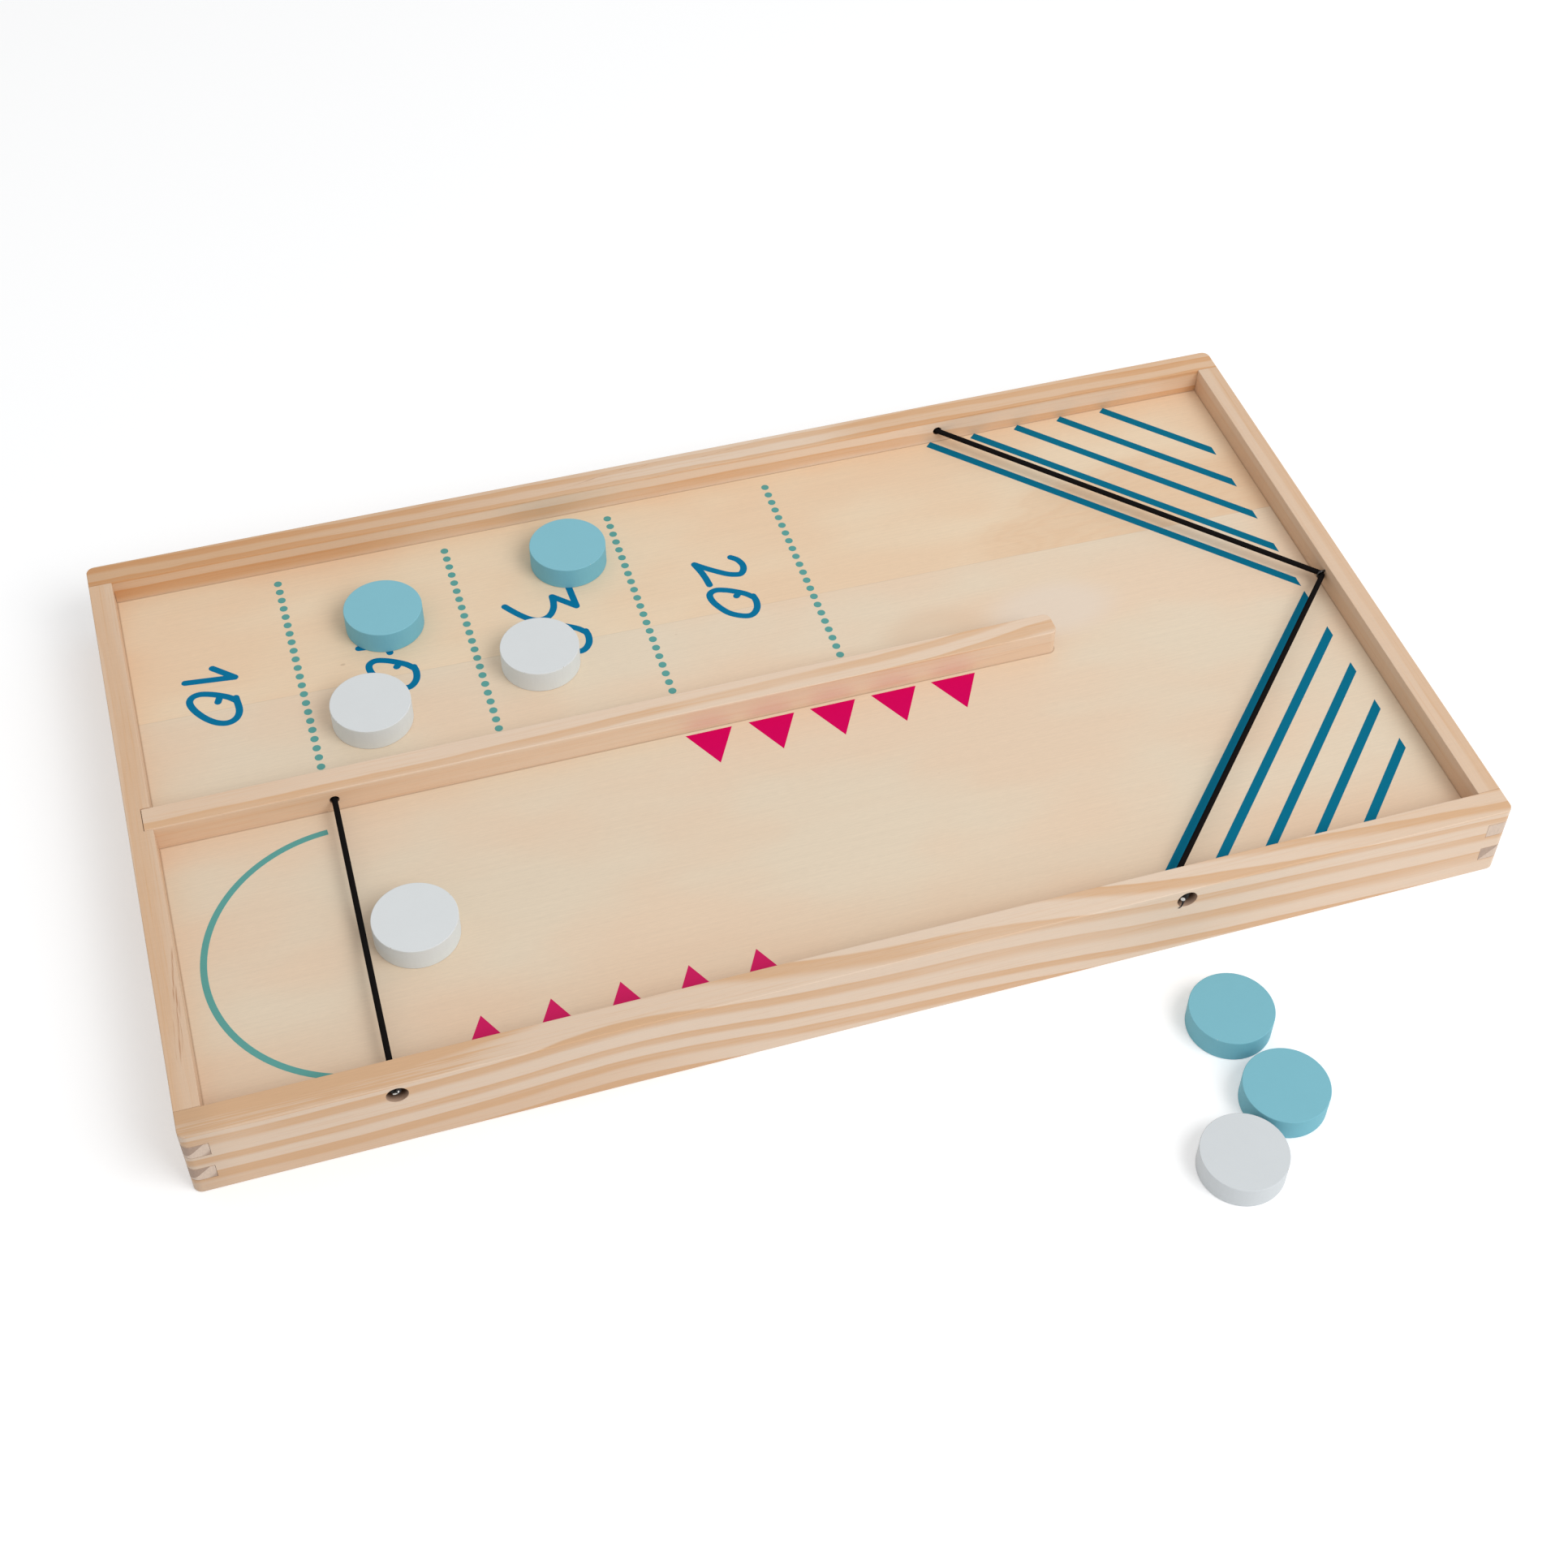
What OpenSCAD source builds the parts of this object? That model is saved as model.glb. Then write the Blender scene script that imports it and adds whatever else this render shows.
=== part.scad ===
// Sling puck board: a shallow pine tray with a launch lane, a scoring lane, a launch elastic,
// a deflector elastic and eight loose pucks.
// The origin is the centre of the playing surface. +X runs along the board to the deflector end,
// +Y to the back rail and +Z up. Millimetres.

/* [Tray] */
// Length of the board over its end rails
board_l = 600; // [500:5:720]
// Width of the board over its long rails
board_w = 342; // [330:2:420]
// Height of the four rails
rail_h = 41; // [38:0.5:60]
// Thickness of the front and back rails
side_rail_t = 13.5; // [12:0.5:18]
// Thickness of the left and right rails
end_rail_t = 11; // [10:0.5:16]
// Radius of the outer upright corners
corner_r = 4; // [1:0.5:8]
// Number of fingers through the height of a corner joint
finger_count = 5; // [3:2:9]
// How far the fingers sit above an even split of the joint
finger_rise = 0.8; // [0:0.1:1.5]

/* [Playing floor] */
// Depth of the playing surface below the top of the rails
floor_drop = 13.8; // [13:0.2:17]
// Thickness of the plywood floor
floor_t = 4; // [3:0.5:6]
// Depth of the groove in the rails that holds the floor
groove_depth = 5; // [3:0.5:7]
// Play of the floor in its groove, end to end on each side
groove_play = 0.2; // [0.1:0.05:0.5]

/* [Divider] */
// Thickness of the divider between the lanes
divider_t = 13.2; // [11:0.1:18]
// How far the divider stands out from the left rail
divider_reach = 432; // [320:2:436]
// Clear width of the launch lane
launch_lane_w = 151.6; // [140:0.2:160]
// Radius of the upright corners at the divider's free end
divider_end_r = 3.5; // [1:0.5:5.4]
// Depth of the divider's housing in the left rail
housing_depth = 4; // [2:0.5:6]
// Play of the divider in its housing, on each side
housing_play = 0.1; // [0.05:0.05:0.3]

/* [Divider screws] */
// Number of screws up through the floor into the divider
screw_count = 4; // [2:1:6]
// Diameter of a screw's shank
screw_d = 3; // [2.5:0.5:3.5]
// Diameter of a screw's countersunk head
screw_head_d = 5.6; // [5:0.2:6.4]
// Length of a screw
screw_l = 14; // [10:1:16]
// Distance of the outer screws from the ends of the divider
screw_inset = 45; // [25:1:80]

/* [Cord holes] */
// Height of the cords above the playing surface
cord_rise = 7; // [6:0.1:8]
// Diameter of the holes that the cords pass through
hole_d = 4.2; // [3.8:0.1:5]
// Diameter of the counterbores that hold the knots
counterbore_d = 9.4; // [8.6:0.2:10]
// Depth of the counterbores
counterbore_depth = 5.5; // [4:0.5:7]

/* [Launch elastic] */
// Diameter of the launch elastic
launch_cord_d = 2.7; // [2:0.1:3]
// Distance from the left rail to the elastic's hole in the front rail
launch_cord_x = 77; // [66:0.5:100]
// How much further right its hole in the divider is
launch_cord_lean = 3; // [0:0.5:6]
// Length of the stretch that a puck is set against
nock_l = 14; // [8:1:24]

/* [Deflector elastic] */
// Diameter of the deflector elastic
deflector_cord_d = 2.7; // [2:0.1:3]
// Distance from the right rail to the elastic's holes in the long rails
deflector_reach = 149.4; // [140:0.1:170]
// Length of the stretch of each arm that a puck strikes
strike_l = 24; // [12:1:40]
// Radius of the elastic's bend at the staple
bend_r = 2.2; // [1.6:0.1:5]
// Gap between the elastic and the wood or wire next to it
cord_gap = 0.1; // [0.05:0.05:0.3]
// Diameter of the staple's wire
staple_wire_d = 1.2; // [1:0.1:1.6]
// Depth of the staple's legs in the right rail
staple_depth = 7; // [4:0.5:8]

/* [Knots] */
// Diameter of a knot, as a multiple of its cord's
knot_ratio = 2.55; // [2.2:0.05:2.8]
// Length of the cord's tail beyond the middle of a knot
knot_tail = 5.4; // [3:0.2:6.4]
// Tilt of the tail from the hole's axis
tail_tilt = 38; // [0:1:40]

/* [Pucks] */
// Diameter of a puck
puck_d = 38; // [32:0.5:39]
// Thickness of a puck
puck_t = 12; // [10:0.5:13]
// Size of the eased edges of a puck
puck_ease = 0.4; // [0.2:0.1:1.5]

/* [Where the pucks lie] */
// Distance from the left rail to the middle of the first blue puck
blue_1_out = 123.4; // [96:0.1:150]
// How far that puck lies behind the middle of the scoring lane
blue_1_up = 22.6; // [14:0.1:44]
// Distance from the left rail to the middle of the second blue puck
blue_2_out = 219.8; // [190:0.1:300]
// How far that puck lies behind the middle of the scoring lane
blue_2_up = 40.4; // [30:0.1:44]
// Distance from the left rail to the middle of the first white puck
white_1_out = 106.2; // [96:0.1:130]
// How far that puck lies in front of the middle of the scoring lane
white_1_down = 37.8; // [30:0.1:44]
// Distance from the left rail to the middle of the second white puck
white_2_out = 190.4; // [176:0.1:300]
// How far that puck lies in front of the middle of the scoring lane
white_2_down = 24.4; // [12:0.1:44]
// Gap between the launch elastic and the white puck in front of it
nock_gap = 2.6; // [0.5:0.1:6]
// How far that puck lies in front of the middle of the launch lane
nock_off = 4.6; // [0:0.1:12]
// Distance from the deflector's hole to the third blue puck, along the front rail
blue_3_off = 4.4; // [0:0.1:40]
// Gap between that puck, which lies on the table, and the front rail
blue_3_gap = 26.5; // [10:0.1:60]
// Gap between the third and fourth blue pucks on the table
table_gap = 5.8; // [2:0.1:12]
// How far the fourth blue puck lies to the right of the third
blue_4_off = 5.8; // [0:0.1:12]
// Gap between the fourth blue puck and the last white one
white_4_gap = 1.8; // [1:0.1:6]
// Direction from the fourth blue puck to the last white one, in degrees from +X
white_4_angle = 219; // [200:1:240]

/* [Hidden] */
$fn = 48;

pine = [0.90, 0.76, 0.60];
pine_end = [0.84, 0.69, 0.52];
veneer = [0.89, 0.79, 0.66];
elastic_black = [0.07, 0.07, 0.08];
steel = [0.75, 0.76, 0.78];
puck_blue = [0.47, 0.73, 0.80];
puck_white = [0.87, 0.89, 0.90];

// Cuts reach this far past a face, so that no skin is left
past = 1;
// Facets round a puck
puck_facets = 96;

// Play of a screw in the floor and in the divider's pilot hole, and of the staple in its holes
screw_play = 0.2;
pilot_play = 0.1;
staple_play = 0.1;

// A knot's middle stands this share of its diameter off its seat, so that its foot is flat
knot_lift = 0.42;
// The tail's diameter is this share of its cord's
tail_share = 0.8;
// Turn of each tail about its hole, in degrees
launch_front_turn = 60;
launch_back_turn = 200;
deflector_back_turn = 130;
deflector_front_turn = 150;

// Heights and places of the wood
rail_top = floor_drop;
rail_foot = floor_drop - rail_h;
left_face = end_rail_t - board_l / 2;
right_face = board_l / 2 - end_rail_t;
front_face = side_rail_t - board_w / 2;
back_face = board_w / 2 - side_rail_t;
finger_h = rail_h / finger_count;

// The divider stands between the lanes
divider_front = front_face + launch_lane_w;
divider_back = divider_front + divider_t;
divider_mid = (divider_front + divider_back) / 2;
divider_end = left_face + divider_reach;

// Middles of the lanes
score_mid = (divider_back + back_face) / 2;
launch_mid = (front_face + divider_front) / 2;

// The launch elastic runs straight from the front rail's hole to the divider's
launch_front_x = left_face + launch_cord_x;
launch_back_x = launch_front_x + launch_cord_lean;
nock_y = launch_mid - nock_off;
function launch_x(y) = launch_front_x
    + launch_cord_lean * (y - front_face) / (divider_front - front_face);
function launch_at(y) = [launch_x(y), y, cord_rise];

// Knots bear on the bottoms of the counterbores
front_seat = counterbore_depth - board_w / 2;
back_seat = board_w / 2 - counterbore_depth;
divider_seat = divider_back - counterbore_depth;

// The deflector elastic's arms run from the long rails' holes to a bend at the middle of the
// right rail, which they meet as tangents
deflector_x = right_face - deflector_reach;
bend_x = right_face - cord_gap - deflector_cord_d / 2 - bend_r;
half_turn = atan2(bend_x - deflector_x, back_face)
    + asin(bend_r / norm([bend_x - deflector_x, back_face]));
function mouth_at(side) = [deflector_x, side * back_face, cord_rise];
function bend_end(side) = [bend_x + bend_r * cos(half_turn), side * bend_r * sin(half_turn),
    cord_rise];
function arm_at(side, share) = mouth_at(side) + share * (bend_end(side) - mouth_at(side));
arm_l = norm(bend_end(1) - mouth_at(1));
strike_share = strike_l / arm_l / 2;

// The staple goes round the bend's outermost point
staple_half = deflector_cord_d / 2 + cord_gap + staple_wire_d / 2;
staple_x = bend_x + bend_r;

// Pucks on the table lie in front of the board
puck_r = puck_d / 2;
blue_3_x = deflector_x + blue_3_off;
blue_3_y = -board_w / 2 - blue_3_gap - puck_r;
blue_4_x = blue_3_x + blue_4_off;
blue_4_y = blue_3_y - sqrt(pow(puck_d + table_gap, 2) - pow(blue_4_off, 2));
white_4_x = blue_4_x + (puck_d + white_4_gap) * cos(white_4_angle);
white_4_y = blue_4_y + (puck_d + white_4_gap) * sin(white_4_angle);

// Shared shapes

// A block between two corners
module block(low, high) {
    translate(low)
        cube(high - low);
}

// The board's outline with its rounded corners, through its whole height
module board_outline() {
    inner_x = board_l / 2 - corner_r;
    inner_y = board_w / 2 - corner_r;
    translate([0, 0, rail_foot])
        linear_extrude(rail_h) {
            square([2 * inner_x, board_w], center = true);
            square([board_l, 2 * inner_y], center = true);
            for (sx = [-1, 1])
                for (sy = [-1, 1])
                    translate([sx * inner_x, sy * inner_y])
                        circle(corner_r);
        }
}

// The fingers of one end of an end rail, through the thickness of a long rail
// side is -1 at the left end of the board and 1 at the right, edge is -1 at the front
module fingers(side, edge) {
    for (i = [1:2:finger_count - 2])
        translate([side * (board_l - end_rail_t) / 2, edge * (board_w - side_rail_t) / 2,
            rail_foot + (i + 0.5) * finger_h + finger_rise])
            cube([end_rail_t, side_rail_t, finger_h], center = true);
}

// The space that the floor panel takes in the grooves, with its play
module floor_groove() {
    reach = groove_depth + groove_play;
    block([left_face - reach, front_face - reach, -floor_t],
        [right_face + reach, back_face + reach, 0]);
}

// A cord hole along Y with its counterbore, whose mouth is at y and opens towards side
module cord_hole(x, y, side, through) {
    translate([x, y, cord_rise])
        rotate([side * -90, 0, 0]) {
            translate([0, 0, -through - past])
                cylinder(h = through + 2 * past, d = hole_d);
            translate([0, 0, -counterbore_depth])
                cylinder(h = counterbore_depth + past, d = counterbore_d);
        }
}

// A long rail with notches for the fingers of the end rails
module long_rail(edge) {
    difference() {
        intersection() {
            board_outline();
            translate([-board_l / 2, edge > 0 ? back_face : -board_w / 2, rail_foot])
                cube([board_l, side_rail_t, rail_h]);
        }
        fingers(-1, edge);
        fingers(1, edge);
        floor_groove();
    }
}

// An end rail with its fingers
module end_rail(side) {
    difference() {
        intersection() {
            board_outline();
            union() {
                translate([side > 0 ? right_face : -board_l / 2, front_face, rail_foot])
                    cube([end_rail_t, back_face - front_face, rail_h]);
                fingers(side, -1);
                fingers(side, 1);
            }
        }
        floor_groove();
    }
}

// The places of the screws along the divider
function screw_x(i) = left_face + screw_inset
    + i * (divider_reach - 2 * screw_inset) / (screw_count - 1);

// A countersunk screw, point up, its head flush with the floor's underside
module screw(grow = 0) {
    head_h = (screw_head_d - screw_d) / 2;
    translate([0, 0, -floor_t]) {
        cylinder(h = head_h, d1 = screw_head_d + grow, d2 = screw_d + grow);
        cylinder(h = screw_l, d = screw_d + grow);
    }
}

// A round stretch of cord between two points
module stretch(a, b, d) {
    run = b - a;
    translate(a)
        rotate([0, acos(run.z / norm(run)), atan2(run.y, run.x)])
            cylinder(h = norm(run), d = d);
}

// A knot on the bottom of its counterbore, opening towards side, its tail turned by turn
module knot(at, side, cord_d, turn) {
    ball = knot_ratio * cord_d;
    translate(at)
        rotate([side * -90, 0, 0]) {
            intersection() {
                translate([0, 0, knot_lift * ball])
                    sphere(d = ball);
                cylinder(h = ball, d = ball);
            }
            translate([0, 0, knot_lift * ball])
                rotate([0, tail_tilt, turn])
                    cylinder(h = knot_tail, d = tail_share * cord_d);
        }
}

// A puck with eased edges, standing on z
module puck(x, y, z) {
    translate([x, y, z])
        rotate_extrude($fn = puck_facets)
            polygon([[0, 0], [puck_r - puck_ease, 0], [puck_r, puck_ease],
                [puck_r, puck_t - puck_ease], [puck_r - puck_ease, puck_t], [0, puck_t]]);
}

// A puck in the scoring lane, placed from the left rail and from the middle of the lane
module lane_puck(out, up) {
    puck(left_face + out, score_mid + up, 0);
}

// Tray

module front_rail() {
    color(pine)
        difference() {
            long_rail(-1);
            cord_hole(launch_front_x, -board_w / 2, -1, side_rail_t);
            cord_hole(deflector_x, -board_w / 2, -1, side_rail_t);
        }
}

module back_rail() {
    color(pine)
        difference() {
            long_rail(1);
            cord_hole(deflector_x, board_w / 2, 1, side_rail_t);
        }
}

module left_rail() {
    color(pine_end)
        difference() {
            end_rail(-1);
            block([left_face - housing_depth - housing_play, divider_front - housing_play, 0],
                [left_face + past, divider_back + housing_play, rail_top + past]);
        }
}

module right_rail() {
    color(pine_end)
        difference() {
            end_rail(1);
            for (up = [-1, 1])
                translate([right_face - past, 0, cord_rise + up * staple_half])
                    rotate([0, 90, 0])
                        cylinder(h = staple_depth + past + cord_gap, d = staple_wire_d + staple_play);
        }
}

module floor_panel() {
    color(veneer)
        difference() {
            block([left_face - groove_depth, front_face - groove_depth, -floor_t],
                [right_face + groove_depth, back_face + groove_depth, 0]);
            for (i = [0:screw_count - 1])
                translate([screw_x(i), divider_mid, 0])
                    screw(screw_play);
        }
}

module divider_rail() {
    color(pine)
        difference() {
            linear_extrude(rail_top) {
                translate([left_face - housing_depth, divider_front])
                    square([divider_reach + housing_depth - divider_end_r, divider_t]);
                translate([divider_end - 2 * divider_end_r, divider_front + divider_end_r])
                    square([2 * divider_end_r, divider_t - 2 * divider_end_r]);
                for (y = [divider_front + divider_end_r, divider_back - divider_end_r])
                    translate([divider_end - divider_end_r, y])
                        circle(divider_end_r);
            }
            cord_hole(launch_back_x, divider_back, 1, divider_t);
            for (i = [0:screw_count - 1])
                translate([screw_x(i), divider_mid, 0])
                    screw(pilot_play);
        }
}

module divider_screws() {
    color(steel)
        for (i = [0:screw_count - 1])
            translate([screw_x(i), divider_mid, 0])
                screw();
}

// Launch elastic

module launch_cord_front() {
    color(elastic_black)
        stretch(launch_at(front_seat), launch_at(nock_y - nock_l / 2), launch_cord_d);
}

module launch_cord_nock() {
    color(elastic_black)
        stretch(launch_at(nock_y - nock_l / 2), launch_at(nock_y + nock_l / 2), launch_cord_d);
}

module launch_cord_back() {
    color(elastic_black)
        stretch(launch_at(nock_y + nock_l / 2), launch_at(divider_seat), launch_cord_d);
}

module launch_knot_front() {
    color(elastic_black)
        knot([launch_front_x, front_seat, cord_rise], -1, launch_cord_d,
            launch_front_turn);
}

module launch_knot_back() {
    color(elastic_black)
        knot([launch_back_x, divider_seat, cord_rise], 1, launch_cord_d,
            launch_back_turn);
}

// Deflector elastic

// The end of an arm, from its knot through the rail and out to the struck stretch
module arm_end(side) {
    seat = [deflector_x, side * back_seat, cord_rise];
    stretch(seat, mouth_at(side), deflector_cord_d);
    translate(mouth_at(side))
        sphere(d = deflector_cord_d);
    stretch(mouth_at(side), arm_at(side, 0.5 - strike_share), deflector_cord_d);
}

// The stretch of an arm that a puck strikes
module strike(side) {
    stretch(arm_at(side, 0.5 - strike_share), arm_at(side, 0.5 + strike_share),
        deflector_cord_d);
}

module deflector_cord_back() {
    color(elastic_black)
        arm_end(1);
}

module deflector_strike_back() {
    color(elastic_black)
        strike(1);
}

module deflector_cord_apex() {
    color(elastic_black) {
        for (side = [-1, 1])
            stretch(arm_at(side, 0.5 + strike_share), bend_end(side), deflector_cord_d);
        translate([bend_x, 0, cord_rise])
            rotate([0, 0, -half_turn])
                rotate_extrude(angle = 2 * half_turn)
                    translate([bend_r, 0])
                        circle(d = deflector_cord_d);
    }
}

module deflector_strike_front() {
    color(elastic_black)
        strike(-1);
}

module deflector_cord_front() {
    color(elastic_black)
        arm_end(-1);
}

module deflector_knot_back() {
    color(elastic_black)
        knot([deflector_x, back_seat, cord_rise], 1, deflector_cord_d,
            deflector_back_turn);
}

module deflector_knot_front() {
    color(elastic_black)
        knot([deflector_x, front_seat, cord_rise], -1, deflector_cord_d,
            deflector_front_turn);
}

module deflector_staple() {
    color(steel)
        translate([staple_x, 0, cord_rise]) {
            rotate([90, 0, 0])
                rotate([0, 0, 90])
                    rotate_extrude(angle = 180)
                        translate([staple_half, 0])
                            circle(d = staple_wire_d);
            for (up = [-1, 1])
                translate([0, 0, up * staple_half])
                    rotate([0, 90, 0])
                        cylinder(h = right_face + staple_depth - staple_x, d = staple_wire_d);
        }
}

// Pucks

module blue_puck_1() {
    color(puck_blue)
        lane_puck(blue_1_out, blue_1_up);
}

module blue_puck_2() {
    color(puck_blue)
        lane_puck(blue_2_out, blue_2_up);
}

module blue_puck_3() {
    color(puck_blue)
        puck(blue_3_x, blue_3_y, rail_foot);
}

module blue_puck_4() {
    color(puck_blue)
        puck(blue_4_x, blue_4_y, rail_foot);
}

module white_puck_1() {
    color(puck_white)
        lane_puck(white_1_out, -white_1_down);
}

module white_puck_2() {
    color(puck_white)
        lane_puck(white_2_out, -white_2_down);
}

module white_puck_3() {
    color(puck_white)
        puck(launch_x(nock_y) + launch_cord_d / 2 + nock_gap + puck_r, nock_y, 0);
}

module white_puck_4() {
    color(puck_white)
        puck(white_4_x, white_4_y, rail_foot);
}

front_rail();
back_rail();
left_rail();
right_rail();
floor_panel();
divider_rail();
divider_screws();
launch_cord_front();
launch_cord_nock();
launch_cord_back();
launch_knot_front();
launch_knot_back();
deflector_cord_back();
deflector_strike_back();
deflector_cord_apex();
deflector_strike_front();
deflector_cord_front();
deflector_knot_back();
deflector_knot_front();
deflector_staple();
blue_puck_1();
blue_puck_2();
blue_puck_3();
blue_puck_4();
white_puck_1();
white_puck_2();
white_puck_3();
white_puck_4();
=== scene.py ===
"""A sling puck board: a shallow pine tray with a launch lane, a numbered scoring lane, a launch
elastic, a deflector elastic and eight loose pucks. It is laid out as an add-on. Each operator
makes one piece, or a group of like pieces, round the CAD model and in its frame, in metres."""

import math

import bmesh
import bpy
from bpy.props import FloatProperty, FloatVectorProperty, IntProperty, PointerProperty
from mathutils import Matrix, Vector
from mathutils.geometry import delaunay_2d_cdt


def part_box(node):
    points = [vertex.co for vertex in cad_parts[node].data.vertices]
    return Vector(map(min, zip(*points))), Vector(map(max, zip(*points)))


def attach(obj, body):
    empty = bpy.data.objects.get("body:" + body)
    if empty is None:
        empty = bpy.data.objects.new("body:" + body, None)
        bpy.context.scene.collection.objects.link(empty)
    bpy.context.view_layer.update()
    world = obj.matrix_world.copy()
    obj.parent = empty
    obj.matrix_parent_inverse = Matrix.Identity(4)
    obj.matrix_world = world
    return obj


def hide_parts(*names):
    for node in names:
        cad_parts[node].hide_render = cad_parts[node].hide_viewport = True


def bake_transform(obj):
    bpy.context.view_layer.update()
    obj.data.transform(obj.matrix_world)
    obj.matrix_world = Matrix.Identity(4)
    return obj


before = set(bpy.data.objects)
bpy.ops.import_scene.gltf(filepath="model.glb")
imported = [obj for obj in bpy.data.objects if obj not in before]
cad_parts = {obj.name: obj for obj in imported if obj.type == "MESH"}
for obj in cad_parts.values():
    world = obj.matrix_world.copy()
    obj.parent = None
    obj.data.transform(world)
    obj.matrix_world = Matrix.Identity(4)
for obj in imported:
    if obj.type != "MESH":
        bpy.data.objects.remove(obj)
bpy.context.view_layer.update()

bl_info = {
    "name": "Sling puck board",
    "version": (1, 0, 0),
    "blender": (4, 5, 0),
    "location": "View3D > Sidebar > Sling board",
    "description": "Makes the pine tray, its printed lanes, elastics and pucks",
    "category": "Add Mesh",
}

MM = 0.001
QUARTER = [math.pi / 2 * i / 4 for i in range(5)]

# Faces of the tray, from the frame
LONG_LOW, LONG_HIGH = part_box("front_rail")
FLOOR_LOW, FLOOR_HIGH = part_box("floor_panel")
DIVIDER_LOW, DIVIDER_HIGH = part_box("divider_rail")
OUTER_X, OUTER_Y = LONG_HIGH.x, -LONG_LOW.y
INNER_X, INNER_Y = -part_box("left_rail")[1].x, -LONG_HIGH.y
FOOT, TOP = LONG_LOW.z, LONG_HIGH.z
# The height of a corner finger, how far each stands above an even share of the rail, and the
# play round what sits in a groove
FINGER = (TOP - FOOT) / 5
FINGER_RISE = 0.8 * MM
PLAY = 0.2 * MM

# Cord holes and the stretches of cord between them
NOCK_LOW, NOCK_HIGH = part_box("launch_cord_nock")
CORD_Z = (NOCK_LOW.z + NOCK_HIGH.z) / 2
LAUNCH_RADIUS = (NOCK_HIGH.z - NOCK_LOW.z) / 2
STRIKE_LOW, STRIKE_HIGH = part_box("deflector_strike_back")
DEFLECTOR_RADIUS = (STRIKE_HIGH.z - STRIKE_LOW.z) / 2
LAUNCH_HOLE_X = -212 * MM
LAUNCH_LEAN = 3 * MM
DEFLECTOR_HOLE_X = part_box("deflector_cord_back")[0].x + DEFLECTOR_RADIUS
HOLE_RADIUS = 2.1 * MM
BORE_RADIUS = 4.7 * MM
BORE_DEPTH = 5.5 * MM
BORE_SEAT = OUTER_Y - BORE_DEPTH
NOCK_LENGTH = 14 * MM
STRIKE_LENGTH = 24 * MM
BEND_RADIUS = 2.2 * MM
BEND_X = INNER_X - 0.1 * MM - DEFLECTOR_RADIUS - BEND_RADIUS
BEND_TURN = (math.atan2(BEND_X - DEFLECTOR_HOLE_X, INNER_Y)
             + math.asin(BEND_RADIUS / math.hypot(BEND_X - DEFLECTOR_HOLE_X, INNER_Y)))

# The screws, which stand head down, and the staple
SCREWS_LOW, SCREWS_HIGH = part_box("divider_screws")
HEAD_RADIUS = 2.8 * MM
SHANK_RADIUS = 1.3 * MM
PILOT_RADIUS = 1.55 * MM
PILOT_DEPTH = 10.3 * MM
WIRE_RADIUS = 0.6 * MM
LEG_DEPTH = 7.1 * MM


def launch_point(y):
    """The launch elastic's centre line at y."""
    share = (y + INNER_Y) / (DIVIDER_LOW.y + INNER_Y)
    return Vector((LAUNCH_HOLE_X + LAUNCH_LEAN * share, y, CORD_Z))


def length(name, description, millimetres):
    return FloatProperty(name=name, description=description, default=millimetres * MM,
                         min=0.0, unit="LENGTH", subtype="DISTANCE", precision=5)


def colour(name, description, *default):
    return FloatVectorProperty(name=name, description=description, default=default, size=3,
                               min=0.0, max=1.0, subtype="COLOR")


class TrayProperties(bpy.types.PropertyGroup):
    """Sizes of the wooden tray's details"""

    corner_round: length("Corner round", "Radius of the outer upright corners", 4)
    edge_round: length("Edge round", "Radius sanded on the long edges", 0.5)
    joint_gap: length("Joint line", "Width of the line round each finger", 0.3)
    divider_round: length("Divider end", "Radius of the divider's free corners", 3.5)
    hole_flare: length("Hole easing", "Width of the eased rim of each hole", 0.25)


class PrintProperties(bpy.types.PropertyGroup):
    """Sizes of the printed marks"""

    film: length("Film", "Thickness of the printed film", 0.03)
    number_stroke: length("Number stroke", "Width of the numbers' strokes", 3.4)
    dot_width: length("Dot width", "Diameter of the dots", 3.9)
    dot_pitch: length("Dot pitch", "Distance from dot to dot", 6)
    dot_count: IntProperty(name="Dots", description="Dots in each line", default=22, min=2)
    arc_radius: length("Arc radius", "Radius of the launch arc", 68)
    arc_stroke: length("Arc stroke", "Width of the launch arc", 3)
    stripe_stroke: length("Stripe width", "Width of the corner stripes", 4.5)
    triangle_base: length("Triangle base", "Width of each triangle", 22.6)
    triangle_height: length("Triangle height", "Height of each triangle", 20.5)


class LooseProperties(bpy.types.PropertyGroup):
    """Sizes of the pucks and cords"""

    puck_edge: length("Puck edge", "Radius of a puck's edges", 0.35)
    puck_lift: length("Puck foot", "Height of a puck's hollowed underside", 0.08)
    cord_sides: IntProperty(name="Cord sides", description="Facets round a cord",
                            default=20, min=8, max=48)


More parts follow.
